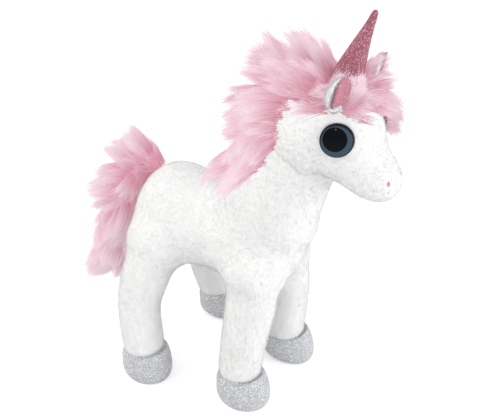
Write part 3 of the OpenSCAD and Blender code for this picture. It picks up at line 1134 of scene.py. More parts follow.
@dataclass(kw_only=True)
class Torso(Clad):
    """Barrel, neck and chest."""

    fibres: int = 62000
    comb: Place = (0.0, 0.5, -0.9)
    end_inset: float = 3.5
    neck_behind: float = 11.0
    chest_ahead: float = 9.5
    chest_up: float = 12.0
    chest_half: Place = (16.0, 14.5, 17.0)

    @property
    def name(self) -> str:
        """Returns: the name of the torso's body."""
        return "torso"

    @property
    def stem(self) -> str:
        """Returns: how the names of its CAD nodes begin."""
        return "body"

    def barrel(self) -> Array:
        """Returns: the barrel's stations, from the rump forwards."""
        b = self.build
        # Share of the length, rise, shares of the half width and the half height
        s = np.array([
            [0, 6.5, 0.88, 0.95],
            [0.17, 1.2, 1.0, 0.98],
            [0.34, -1.2, 0.99, 0.98],
            [0.5, -1.5, 0.96, 0.96],
            [0.67, -1, 0.98, 0.95],
            [0.84, 0, 1, 0.98],
            [1, 1, 0.9, 0.96],
        ])
        y = b.rump_y - s[:, 0] * (b.barrel_len - self.end_inset)
        wide = s[:, 2] * b.barrel_w / 2 - b.pile
        high = s[:, 3] * b.barrel_h / 2 - b.pile
        return np.stack([0 * y, y, b.barrel_z + s[:, 1], wide, high, high], 1)

    def neck(self) -> Array:
        """Returns: the neck's stations, from the chest upwards."""
        b = self.build
        # Shares of the way forwards and up to the head, of the width and the depth
        s = np.array([
            [0, 0, 0.7, 0.68],
            [0.34, 0.36, 0.63, 0.73],
            [0.6, 0.62, 0.56, 0.61],
            [0.8, 0.83, 0.5, 0.53],
            [0.97, 1, 0.46, 0.46],
        ])
        foot = np.array([b.front_y + self.neck_behind, b.barrel_z])
        y = foot[0] + s[:, 0] * (b.head_mid[1] - foot[0])
        z = foot[1] + s[:, 1] * (b.head_mid[2] - foot[1])
        wide = s[:, 2] * b.neck_w - b.pile
        high = s[:, 3] * b.neck_depth - b.pile
        return np.stack([0 * y, y, z, wide, high, high], 1)

    def shells(self) -> list[Shell]:
        """Returns: barrel, neck and chest."""
        middle = np.array([0.0, self.build.front_y - self.chest_ahead, self.build.barrel_z + self.chest_up])
        barrel = grid(loft(self.barrel(), start=9, end=3, rings=44, sides=48))
        neck = grid(loft(self.neck(), start=4, end=6, rings=40, sides=40))
        return [barrel, neck, ball(middle, np.array(self.chest_half))]

    def hang(self, piece: bpy.types.Object) -> None:
        """Lets a piece ride on the torso.

        Args:
            piece: the piece.
        """
        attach(piece, self.name)


@dataclass(kw_only=True)
class Leg(Clad):
    """One leg with its hoof."""

    pair: Pair
    side: Side
    fibres: int = 17000
    comb: Place = (0.0, 0.15, -1.0)
    ankle_grow: float = 1.2
    cuff: float = 0.5
    tuck_in: float = 2.4
    tuck_down: float = 3.5
    hoof_wide: float = 11.4
    hoof_long: float = 12.4
    hoof_padding: float = 0.9
    bend_gap: float = 0.2
    bend_run: float = 1.1

    @property
    def word(self) -> str:
        """Returns: which leg it is, as the CAD nodes spell it."""
        return f"{self.pair.value}_{self.side.word}"

    @property
    def name(self) -> str:
        """Returns: the name of the leg's body."""
        return f"{self.word}_leg"

    @property
    def stem(self) -> str:
        """Returns: how the names of its CAD nodes begin."""
        return self.name

    @property
    def ankle(self) -> float:
        """Returns: half the ankle's width."""
        return self.build.ankle_d / 2 + self.ankle_grow

    def line(self) -> Array:
        """Returns: the leg's stations from hip to hoof."""
        b, ankle = self.build, self.ankle
        # Half track, y, z, half width, half depth; then what the chest adds ahead
        if self.pair is Pair.FRONT:
            y, half, track = b.front_y, b.shoulder_track / 2, b.front_track / 2
            r = np.array([
                [half, y, b.hip_z, 0.48 * b.leg_d, 0.46 * b.leg_d],
                [half + 1.2, y, 0.76 * b.hip_z, 0.5 * b.leg_d, 0.5 * b.leg_d],
                [track - 2, y, 0.52 * b.hip_z, 0.49 * b.leg_d, 0.49 * b.leg_d],
                [track - 0.5, y + 0.5, b.hoof_h + 6, ankle, ankle],
                [track, y + 0.5, b.hoof_h, ankle + 0.4, ankle + 0.4],
            ])
            chest = np.array([4.5, 4.0, 1.8, 0.0, 0.0])
        else:
            y, half, track = b.hind_y, b.hip_track / 2, b.hind_track / 2
            r = np.array([
                [half, y + 4, b.hip_z, 0.58 * b.leg_d, 0.6 * b.leg_d],
                [half + 5.5, y + 6.5, 0.79 * b.hip_z, 0.55 * b.leg_d, 0.58 * b.leg_d],
                [track - 4, y + 8.5, 0.55 * b.hip_z, 0.5 * b.leg_d, 0.52 * b.leg_d],
                [track - 1.2, y + 5, b.hoof_h + 6, ankle, ankle],
                [track, y + 3.5, b.hoof_h, ankle + 0.4, ankle + 0.4],
            ])
            chest = np.zeros(5)
        half_sizes = np.column_stack([r[:, 3], r[:, 4] + chest, r[:, 4]]) - b.pile
        return np.column_stack([self.side.value * r[:, 0], r[:, 1:3], half_sizes])

    def shells(self) -> list[Shell]:
        """Returns: the leg's column, the round top that sits in the barrel and the muscle over it."""
        b, line = self.build, self.line()
        hip = line[0, :3]
        inner = hip * [0.75, 1, 1]
        if self.pair is Pair.FRONT:
            top = np.array([12.0, 14.5, 14.5])
            muscle = ball(inner + [0, -4.0, 1.0], np.array([9.5, 13.5, 16.0]) - b.pile)
        else:
            top = np.array([14.0, 16.5, 16.5])
            muscle = ball(inner + [0, 2.0, 8.0], np.array([11.0, 13.5, 12.0]))
        narrow = np.array([0, 0, 0, 1, 1, 1])
        cuff = line[-1] - self.cuff * narrow
        tucked = line[-1] - self.tuck_in * narrow - np.array([0, 0, self.tuck_down, 0, 0, 0])
        column = np.vstack([line[:-1], cuff, tucked])
        stem = grid(loft(column, start=9, end=9, rings=36, sides=36))
        return [stem, ball(hip, top - b.pile), muscle]

    def out(self) -> Array:
        """Returns: the way out of the barrel into the leg, 30 degrees off straight down."""
        return np.array([0.5 * self.side.value, 0.0, -0.866])

    def start(self) -> Array:
        """Returns: the point where the leg begins to bend."""
        middle = np.array([0.0, self.line()[0, 1], self.build.barrel_z])
        return middle + (self.build.barrel_h / 2 + self.bend_gap) * self.out()

    def holds(self, points: Array) -> Array:
        """Tells which points belong to the leg.

        Args:
            points: the points.
        Returns: truth values.
        """
        middle = 0.5 * (self.build.front_y + self.build.hind_y)
        ahead = points[:, 1] < middle
        beyond = (points - self.start()) @ self.out() > 0
        return beyond & (points[:, 0] * self.side.value > 0) & (ahead == (self.pair is Pair.FRONT))

    def hang(self, piece: bpy.types.Object) -> None:
        """Bakes a piece's placing into its mesh; the piece rides on no body.

        Args:
            piece: the piece.
        """
        self.name
        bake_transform(piece)

    def hoof_shell(self) -> Shell:
        """Returns: the stuffed hoof, an ellipse carried down the leg's end, flat underneath."""
        s, wide, long = self.side.value, self.hoof_wide, self.hoof_long
        x, y, z = self.line()[-1, :3]
        ring = self.ankle
        toe = 1.5 if self.pair is Pair.FRONT else 0.3
        rows = np.array([
            [x, y, z + 1.2, ring - 1.6, ring - 1.6, ring - 1.6],
            [x, y - 0.2, z - 0.4, ring + 0.2, ring + 0.3, ring + 0.2],
            [x + 0.2 * s, y - 1.2, 0.72 * z, 0.98 * wide, long + 0.6 * toe, 0.97 * long],
            [x + 0.3 * s, y - 1.7, 0.42 * z, wide, long + toe, long],
            [x + 0.2 * s, y - 1.8, 0.16 * z, 0.93 * wide, 0.95 * long + toe, 0.93 * long],
            [x, y - 1.6, 0.0, 0.74 * wide, 0.76 * long, 0.74 * long],
        ])
        rings = loft(rows, start=0, end=0, rings=36, sides=48)
        sole = np.broadcast_to(rings[-1].mean(0), rings[-1:].shape)
        lid = np.broadcast_to(rings[0].mean(0), rings[:1].shape)
        points = np.concatenate([lid, rings, sole])
        points[..., 2] = np.maximum(points[..., 2], 0)
        return grid(points)

    def hoof(self, finishes: Finishes) -> None:
        """Builds and dresses the hoof.

        Args:
            finishes: the shared materials.
        """
        hoof = dress(self.hoof_shell().object(f"{self.word}_hoof"), finishes.silver)
        settle(hoof, self.name, Slot.SILVER_GLITTER, f"{self.word}_hoof_cover", f"{self.word}_hoof_filling")


@dataclass
class Head:
    """The stuffed head."""

    build: Build
    fibres: int = 26000
    comb: Place = (0.0, 0.7, -0.5)
    padding: float = 0.9

    def rows(self) -> Array:
        """Returns: the head's stations from nape to nose."""
        b = self.build
        # Behind and above the head's middle; half width, half height above, half height below
        s = np.array([
            [23, 0.5, 18.4, 21.6, 21.6],
            [12, 0, 20.3, 23.5, 23.5],
            [0, 0, 20.5, 23.5, 23.5],
            [-10.5, -2.5, 18.0, 20.4, 20.9],
            [-21.3, -11.55, 13.0, 12.6, 13.0],
            [-29.1, -16.8, 12.0, 12.0, 12.0],
            [-35.5, -21.0, 11.0, 11.0, 11.0],
        ])
        y, z = b.head_mid[1] + s[:, 0], b.head_mid[2] + s[:, 1]
        return np.column_stack([0 * y, y, z, s[:, 2:] - b.pile])

    def sew(self, finishes: Finishes, bare: list[list[float]]) -> Shell:
        """Builds and dresses the head.

        Args:
            finishes: the shared materials.
            bare: places as x, y, z, radius, where no nap grows.
        Returns: the head's skin.
        """
        stuffed = grid(loft(self.rows(), start=2.6, end=3, rings=60, sides=64))
        skin = subdivided(fused(stuffed, voxel=1.6).relaxed(3))
        cloth = dress(skin.object("head_skin"), finishes.plush)
        nap = Nap(Seed.HEAD_NAP).grow("head_pile", skin, self.fibres, self.comb, np.array(bare))
        settle(cloth, "head", Slot.WHITE_PLUSH, "head_cover", "head_stuffing")
        settle(dress(nap, finishes.nap), "head", Slot.WHITE_PLUSH)
        return skin


@dataclass
class Eye:
    """One domed eye on its CAD node's axis."""

    side: Side
    radius: float = 6.5
    dome: float = 2.2
    rim: float = 0.6
    sunk: float = 1.0
    clear: float = 0.4
    pupil_shift: Place = (0.0, 0.75, 0.75)
    rings: int = 28
    sides: int = 64

    @property
    def name(self) -> str:
        """Returns: the eye's name."""
        return f"{self.side.word}_eye"

    def place(self) -> tuple[Array, Array]:
        """Returns: the middle of the eye's foot and the way it looks."""
        dome = node_shell(f"{self.name}_dome").points
        washer = node_shell(f"{self.name}_washer").points
        middle = 0.5 * (dome.min(0) + dome.max(0))
        axis = unit(dome.mean(0) - washer.mean(0))
        return middle + axis * ((dome - middle) @ axis).min(), axis

    def bare(self) -> list[float]:
        """Returns: where no nap grows, as x, y, z, radius."""
        return [*self.place()[0], self.radius + self.clear]

    def shell(self) -> Shell:
        """Returns: the dome, a quarter of an ellipse turned about the axis, and a straight rim below it."""
        foot, axis = self.place()
        side = unit(np.cross(axis, [0.0, 0, 1]))
        other = np.cross(axis, side)
        p = np.linspace(0, np.pi / 2, self.rings)
        a = np.linspace(0, TURN, self.sides, endpoint=False)[:, None]
        r = np.append(self.radius * np.sin(p), self.radius)[:, None, None]
        height = np.append(self.rim + self.dome * np.cos(p), -self.sunk)[:, None, None]
        return grid(foot + r * (np.cos(a) * side + np.sin(a) * other) + height * axis)

    def sew(self) -> None:
        """Builds and dresses the eye."""
        foot, axis = self.place()
        shift = np.array(self.pupil_shift)
        finish = DomedEye(f"{self.side.word} eye").material(foot, axis, self.radius, shift)
        settle(dress(self.shell().object(self.name), finish), "head", Slot.EYE_DOME, f"{self.name}_dome")


@dataclass
class Nostril:
    """One nostril, a few stitches of pink thread."""

    side: Side
    proud: float = 0.05
    clear: float = 1.3

    @property
    def name(self) -> str:
        """Returns: the nostril's name as the CAD node has it."""
        return f"{self.side.word}_nostril"

    def bare(self) -> list[float]:
        """Returns: where no nap grows, as x, y, z, radius."""
        return [*node_shell(self.name).points.mean(0), self.clear]

    def sew(self, skin: Shell) -> None:
        """Builds and dresses the stitches, set on the head's skin.

        Args:
            skin: the head's skin.
        """
        stitches = softened(self.name, voxel=0.3, rounds=3, grow=-0.2)
        near = np.argmin(np.linalg.norm(skin.points - stitches.points.mean(0), axis=1))
        out = skin.normals()[near]
        stitches.points -= ((stitches.points.mean(0) - skin.points[near]) @ out - self.proud) * out
        finish = Plain(f"{self.side.word} nostril thread", colour(230, 140, 170), 0.5).material()
        thread = dress(stitches.object(f"{self.name}_stitches"), finish)
        settle(thread, "head", Slot.NOSTRIL_THREAD, self.name)


@dataclass
class Ear:
    """One ear: white cloth behind and a glitter lining in front."""

    side: Side
    fibres: int = 3500
    comb: Place = (0.0, 0.2, 1.0)
    nap: float = 1.2
    lining_wide: float = 0.74
    lining_shift: float = 0.14

    @property
    def name(self) -> str:
        """Returns: the name of the ear's body."""
        return f"{self.side.word}_ear"

    def sew(self, finishes: Finishes, axis: Array) -> None:
        """Builds and dresses the ear.

        Args:
            finishes: the shared materials.
            axis: the axis of the ear's fold, which runs across the ear.
        """
        back = softened(f"{self.name}_back", voxel=0.6, rounds=3)
        cloth = dress(back.object(f"{self.name}_cloth"), finishes.plush)
        fuzz = Nap(Seed.EAR_NAP, length=self.nap).grow(f"{self.name}_pile", back, self.fibres, self.comb)
        lining = softened(f"{self.name}_lining", voxel=0.45, rounds=2)
        width = axis * -self.side.value
        place = (lining.points - lining.points.mean(0)) @ width
        narrowed = self.lining_shift * np.ptp(place) / 2 + self.lining_wide * place
        lining.points += (narrowed - place)[:, None] * width
        front = dress(lining.object(f"{self.name}_glitter"), finishes.lining)
        settle(cloth, self.name, Slot.WHITE_PLUSH, f"{self.name}_back")
        settle(dress(fuzz, finishes.nap), self.name, Slot.WHITE_PLUSH)
        settle(front, self.name, Slot.ROSE_GLITTER, f"{self.name}_lining")


@dataclass
class Horn:
    """The stuffed horn."""

    padding: float = 0.9
    inset: float = 0.3

    def sew(self, finishes: Finishes) -> None:
        """Builds and dresses the horn.

        Args:
            finishes: the shared materials.
        """
        skin = subdivided(softened("horn_cover", voxel=0.9, rounds=4, grow=-self.inset))
        horn = dress(skin.object("horn_cloth"), finishes.rose)
        settle(horn, "head", Slot.ROSE_GLITTER, "horn_cover", "horn_stuffing")


@dataclass
class Hair:
    """Forelock, mane and tail: locks of long pile that grow out of the skin."""

    build: Build
    head: Shell
    torso: Shell
    # How locks gather: locks to a clump, looseness of a patch's edge, tries for each root
    clump: int = 7
    ragged: float = 1.2
    spare: int = 60
    stray: float = 0.16
    drawn: float = 0.5
    sunk: float = 0.6
    heart_depth: float = 12.0
    # Round the horn
    horn_foot: float = 6.0
    horn_clear: float = 6.0
    collar_reach: float = 9.5
    collar_left: float = 2.0
    collar_long: float = 9.0
    # The forelock's patch, from the head's middle
    brow_ahead: float = 7.5
    brow_run: float = 11.0
    brow_right: float = -9.0
    brow_left: float = 17.0
    brow_sweep: float = 23.0
    # The crown mane's patch: its sloping edge, and its tongue beside the horn
    edge_behind: float = 6.5
    edge_above: float = 14.5
    edge_slope: float = 0.36
    tongue_half: float = 13.0
    tongue_ahead: float = 12.0
    crown_below: float = 16.0
    crown_middle: float = 1.5
    # The neck mane's patch, from the head's middle
    crest: Place = (0.0, 0.87, 0.5)
    crest_bottom: float = 29.0
    crest_top: float = 4.0
    crest_behind: float = 46.0
    # The tail's cloth and roots, as shares of the core
    core_share: float = 0.82
    root_share: float = 0.8
    slope_step: float = 0.03
    # The fringe and the cloth under the mane
    fringe_locks: int = 800
    fringe_clump: int = 3
    fringe_ragged: float = 0.9
    fringe_long: float = 8.5
    fringe_wide: float = 0.9
    backing_proud: float = 0.75

    def picked(
        self, shell: Shell, count: int, seed: int, keep: Keep
    ) -> tuple[Array, Array, np.random.Generator]:
        """Picks roots on a part of a skin.

        Args:
            shell: the skin.
            count: how many roots.
            seed: of the choice.
            keep: tells from points and normals which may be roots.
        Returns: roots, normals and a generator for what follows.
        """
        corners = picked_faces(shell, self.spare * count, np.random.default_rng(seed))
        points = shell.points[corners].mean(1)
        normals = unit(shell.normals()[corners].mean(1))
        rng = np.random.default_rng(seed)
        kept = keep(points + rng.normal(0, self.ragged, points.shape), normals)
        return points[kept][:count], normals[kept][:count], rng

    def locks(
        self,
        root: Array,
        normal: Array,
        lie: Array,
        long: Array,
        rng: np.random.Generator,
        wide: float,
        pale: float,
    ) -> Locks:
        """Lays locks from their roots, each drawn towards the nearest of a few that lead.

        Args:
            root: where they grow.
            normal: the skin's normals there.
            lie: the way they are combed.
            long: their lengths.
            rng: the generator.
            wide: their width at the root.
            pale: how light they are, 0 to 1; set higher on the neck mane and the tail as painted light, to
                make up for the shade they lie in.
        Returns: the locks.
        """
        count = len(root)
        leads = root[None, : count // self.clump]
        lead = np.argmin(np.linalg.norm(root[:, None] - leads, axis=2), axis=1)
        own = rng.uniform(0.8, 1.1, (count, 1))
        shared = rng.uniform(0.88, 1.16, (count, 1))[lead]
        long = long[:, None] * own * shared
        tip = root + long * unit(unit(lie) + self.stray * rng.normal(size=root.shape))
        tip += self.drawn * (tip[lead] - tip)
        bend = long * (0.12 * normal + np.array([0.0, 0.0, 0.05]) + 0.05 * rng.normal(size=root.shape))
        tone = np.clip(pale + 0.2 * rng.normal(size=count) + 0.15 * rng.normal(size=count)[lead], 0, 1)
        wides = wide * rng.uniform(0.7, 1.3, count)
        return Locks(root - self.sunk * normal, tip, bend, wides, tone, root - self.heart_depth * normal)

    def from_horn(self, p: Array) -> Array:
        """Measures level from the middle of the horn's foot.

        Args:
            p: the points.
        Returns: the ways from the foot to them.
        """
        foot = node_shell("horn_cover").points
        foot = foot[foot[:, 2] < foot[:, 2].min() + self.horn_foot].mean(0)
        return (p - foot) * np.array([1.0, 1.0, 0.0])

    def off_horn(self, p: Array) -> Array:
        """Tells which points are clear of the horn.

        Args:
            p: the points.
        Returns: truth values.
        """
        return np.linalg.norm(self.from_horn(p), axis=1) > self.horn_clear

    def collared(self, root: Array, lie: Array, long: Array) -> tuple[Array, Array]:
        """Lets the locks close to the horn, on its right, stand up against it, short.

        Args:
            root: where the locks grow.
            lie: the way they are combed.
            long: their lengths.
        Returns: the ways and lengths.
        """
        away = self.from_horn(root)
        close = (np.linalg.norm(away, axis=1) < self.collar_reach) & (root[:, 0] < self.collar_left)
        up = 0.25 * unit(away) + np.array([0.0, 0.0, 1.0])
        return np.where(close[:, None], up, unit(lie)), np.where(close, self.collar_long, long)

    def on_brow(self, p: Array, n: Array) -> Array:
        """Tells where the forelock grows.

        Args:
            p: points on the head.
            n: the normals there.
        Returns: truth values.
        """
        brow = self.build.head_mid[1] - self.brow_ahead
        across = (p[:, 0] > self.brow_right) & (p[:, 0] < self.brow_left)
        along = (p[:, 1] < brow) & (p[:, 1] > brow - self.brow_run)
        return across & along & (n[:, 2] > 0.35 - 0.02 * p[:, 0]) & self.off_horn(p)

    def forelock(self, count: int) -> Locks:
        """Lays the forelock, which sweeps forward over the brow.

        Args:
            count: how many locks.
        Returns: the locks.
        """
        root, normal, rng = self.picked(self.head, count, Seed.FORELOCK, self.on_brow)
        ahead = (self.build.head_mid[1] - self.brow_ahead - root[:, 1]) / self.brow_run
        far = (root[:, 0] - self.brow_right) / self.brow_sweep
        lie = np.stack([0.2 + 0.25 * far, -0.8 + 0.15 * far, 0.35 - 0.3 * ahead - 0.75 * far], 1)
        lie[:, 2] += 0.35 * (1 - ahead) * (root[:, 0] < 3)
        above = (root[:, 0] > 3) & (ahead < 0.6)
        raised = rng.random((above.sum(), 1)) < 0.6
        lie[above] = np.where(raised, [[0.35, -0.45, 0.65]], [[0.5, -0.6, 0.0]])
        lie[:, 2] = np.maximum(lie[:, 2], -0.42)
        long = 19 - 3 * ahead - 3 * above - 6 * smoothstep(far, 0.75, 1.0)
        lie, long = self.collared(root, lie, long)
        return self.locks(root, normal, lie, long, rng, wide=2.4, pale=0.6)

    def on_crown(self, p: Array, n: Array) -> Array:
        """Tells where the crown mane grows.

        Args:
            p: points on the head.
            n: the normals there.
        Returns: truth values.
        """
        mid = self.build.head_mid
        edge = mid[1] + self.edge_behind - self.edge_slope * (p[:, 2] - mid[2] - self.edge_above)
        tongue = (np.abs(p[:, 0]) < self.tongue_half) & (n[:, 2] > 0.5)
        front = np.where(tongue, mid[1] - self.tongue_ahead, edge)
        low = mid[2] - self.crown_below + 0.5 * np.abs(p[:, 0])
        return (p[:, 1] > front) & (p[:, 2] > low) & (n[:, 2] > -0.4) & self.off_horn(p)

    def crown(self, side: Side, count: int) -> Locks:
        """Lays one side of the crown mane, which falls back from the poll.

        Args:
            side: the side of the head.
            count: how many locks.
        Returns: the locks.
        """

        def on_side(p: Array, n: Array) -> Array:
            """Tells where this side's mane grows.

            Args:
                p: points on the head.
                n: the normals there.
            Returns: truth values.
            """
            return self.on_crown(p, n) & (p[:, 0] * side.value > -self.crown_middle)

        mid = self.build.head_mid
        root, normal, rng = self.picked(self.head, count, Seed.CROWN_MANE + side.value, on_side)
        out = np.clip(np.abs(root[:, 0]) / 18, 0, 1)
        top = smoothstep(root[:, 2], mid[2] + 10, mid[2] + 24)
        low = 1 - smoothstep(root[:, 2], mid[2] - 4, mid[2] + 24)
        near = 1 - smoothstep(root[:, 1], mid[1] - 8, mid[1] + 2)
        rise = 0.35 * top * (1 - near) - (0.35 + 0.75 * out) * low
        lie = np.stack([0.25 * np.sign(root[:, 0]) * (1 - out), 0.75 - 0.25 * out, rise], 1)
        lie += (0.2 - 0.2 * near)[:, None] * normal
        lie, long = self.collared(root, lie, 20 - 2 * out - 4 * near)
        return self.locks(root, normal, lie, long, rng, wide=2.6, pale=0.55)

    def on_crest(self, p: Array, n: Array) -> Array:
        """Tells where the neck's mane grows.

        Args:
            p: points on the torso.
            n: the normals there.
        Returns: truth values.
        """
        mid = self.build.head_mid
        bottom = mid[2] - self.crest_bottom + 0.45 * np.abs(p[:, 0])
        high = (p[:, 2] > bottom) & (p[:, 2] < mid[2] - self.crest_top)
        return (n @ np.array(self.crest) > 0.3) & high & (p[:, 1] < mid[1] + self.crest_behind)

    def neck(self, count: int) -> Locks:
        """Lays the mane along the crest of the neck.

        Args:
            count: how many locks.
        Returns: the locks.
        """
        mid = self.build.head_mid
        root, normal, rng = self.picked(self.torso, count, Seed.NECK_MANE, self.on_crest)
        lie = np.stack([0.03 * root[:, 0], 0.55 + 0 * root[:, 0], -0.85 + 0 * root[:, 0]], 1)
        low = 1 - smoothstep(root[:, 2], mid[2] - 26, mid[2] - 12)
        # Painted light: the neck mane is set palest, to make up for the shade it lies in.
        return self.locks(root, normal, lie + 0.12 * normal, 15 + 7 * low, rng, wide=2.6, pale=1.0)

    def plume(self) -> Array:
        """Returns: the stations of the tail's core from root to tip, as y, z and half its depth."""
        rows = [[-7, 96, 4], [2, 96, 8], [9, 88, 10], [13.5, 74, 10]]
        rows += [[19, 58, 9.5], [25.5, 41, 8], [33, 27, 5]]
        return np.array(rows) + np.array([self.build.rump_y, 0, 0])

    def plume_points(self, u: Array, turn: Array, out: Array) -> tuple[Array, Array, Array]:
        """Finds places round the tail's core: its run carries an ellipse that is narrow at the root.

        Args:
            u: shares of the run.
            turn: angles, 0 at the back.
            out: shares of the half depth.
        Returns: the points, the ways out of the core and the ways along it.
        """
        rows = self.plume()
        run = spline(rows, u)
        ahead = unit(spline(rows, u + self.slope_step)[:, :2] - spline(rows, u - self.slope_step)[:, :2])
        none = 0 * u
        back = np.column_stack([none, -ahead[:, 1], ahead[:, 0]])
        wide = 0.5 + 0.4 * smoothstep(u, 0.05, 0.4)
        away = np.cos(turn)[:, None] * back + (wide * np.sin(turn))[:, None] * np.array([1.0, 0, 0])
        middle = np.column_stack([none, run[:, :2]])
        return middle + (run[:, 2] * out)[:, None] * away, away, np.column_stack([none, ahead])

    def tail(self, side: Side, count: int) -> Locks:
        """Lays one half of the tail, which rises at the root, fans out and falls along the core.

        Args:
            side: the half of the tail.
            count: how many locks.
        Returns: the locks.
        """
        rng = np.random.default_rng(Seed.TAIL + side.value)
        u = rng.uniform(0.0, 0.97, count)
        turn = side.value * rng.uniform(-0.2, np.pi, count)
        root, away, along = self.plume_points(u, turn, np.full(count, self.root_share))
        slopes = np.interp(u, [0.0, 0.14, 0.24, 0.35, 0.5, 0.7], [8.0, 38.0, 22.0, -12.0, -45.0, -62.0])
        slope = np.radians(slopes)
        spread = (0.1 + 0.25 * smoothstep(u, 0.1, 0.4)) * np.sin(turn)
        free = np.column_stack([spread, np.cos(slope), np.sin(slope)])
        back = smoothstep(np.cos(turn), -0.5, 0.3)[:, None]
        lie = back * free + (1 - back) * (along + 0.3 * away)
        long = np.interp(u, [0.0, 0.2, 0.5, 1.0], [17.0, 15.0, 18.0, 16.0])
        # Painted light: the tail is set paler, to make up for the shade behind the rump.
        return self.locks(root, 0.4 * away, lie, long, rng, wide=2.8, pale=0.95)

    def tail_core(self, rings: int = 40, sides: int = 32) -> Shell:
        """Makes the cloth that the tail's pile grows on.

        Args:
            rings: how many rings.
            sides: how many points to a ring.
        Returns: the cloth.
        """
        around = np.linspace(0, TURN, sides, endpoint=False)
        u, turn = np.meshgrid(np.linspace(0, 1, rings), around, indexing="ij")
        out = self.core_share * girth(u, 3, 3).ravel()
        return grid(self.plume_points(u.ravel(), turn.ravel(), out)[0].reshape(rings, sides, 3))

    def fringe(self, shell: Shell, keep: Keep, inside: Place, lie: Place, seed: int) -> Locks:
        """Lays thin short locks along the edge of the long pile, so that it thins out into the nap.

        Args:
            shell: the skin.
            keep: tells from points and normals where the long pile grows.
            inside: the way into the pile from its edge, as far as the fringe reaches.
            lie: the way the fringe is combed.
            seed: of its choices.
        Returns: the locks.
        """

        def at_edge(p: Array, n: Array) -> Array:
            """Tells where the fringe grows.

            Args:
                p: points on the skin.
                n: the normals there.
            Returns: truth values.
            """
            return keep(p, n) & ~keep(p + np.array(inside), n)

        soft = replace(self, clump=self.fringe_clump, ragged=self.ragged + self.fringe_ragged)
        root, normal, rng = soft.picked(shell, self.fringe_locks, seed, at_edge)
        long = np.full(len(root), self.fringe_long)
        lean = np.array(lie) + 0.1 * normal
        return soft.locks(root, normal, lean, long, rng, wide=self.fringe_wide, pale=0.6)

    def backing(self, shell: Shell, keep: Keep, inside: Place) -> Shell:
        """Lays pink cloth over the part of a skin that long pile grows on.

        Args:
            shell: the skin.
            keep: tells from points and normals where the pile grows.
            inside: how far the cloth keeps inside the pile's edge.
        Returns: the cloth, a little proud of the skin.
        """
        inset = np.array(inside)
        near = keep(shell.points + 0.5 * inset, shell.normals())[shell.faces].any(1)
        cloth = subdivided(shell.part(near))
        normals = cloth.normals()
        middle = cloth.points[cloth.faces].mean(1)
        out = unit(normals[cloth.faces].mean(1))
        loose = np.random.default_rng(Seed.BACKING).normal(0, self.ragged, middle.shape)
        kept = keep(middle + inset + loose, out)
        return Shell(cloth.points + self.backing_proud * normals, cloth.faces).part(kept)


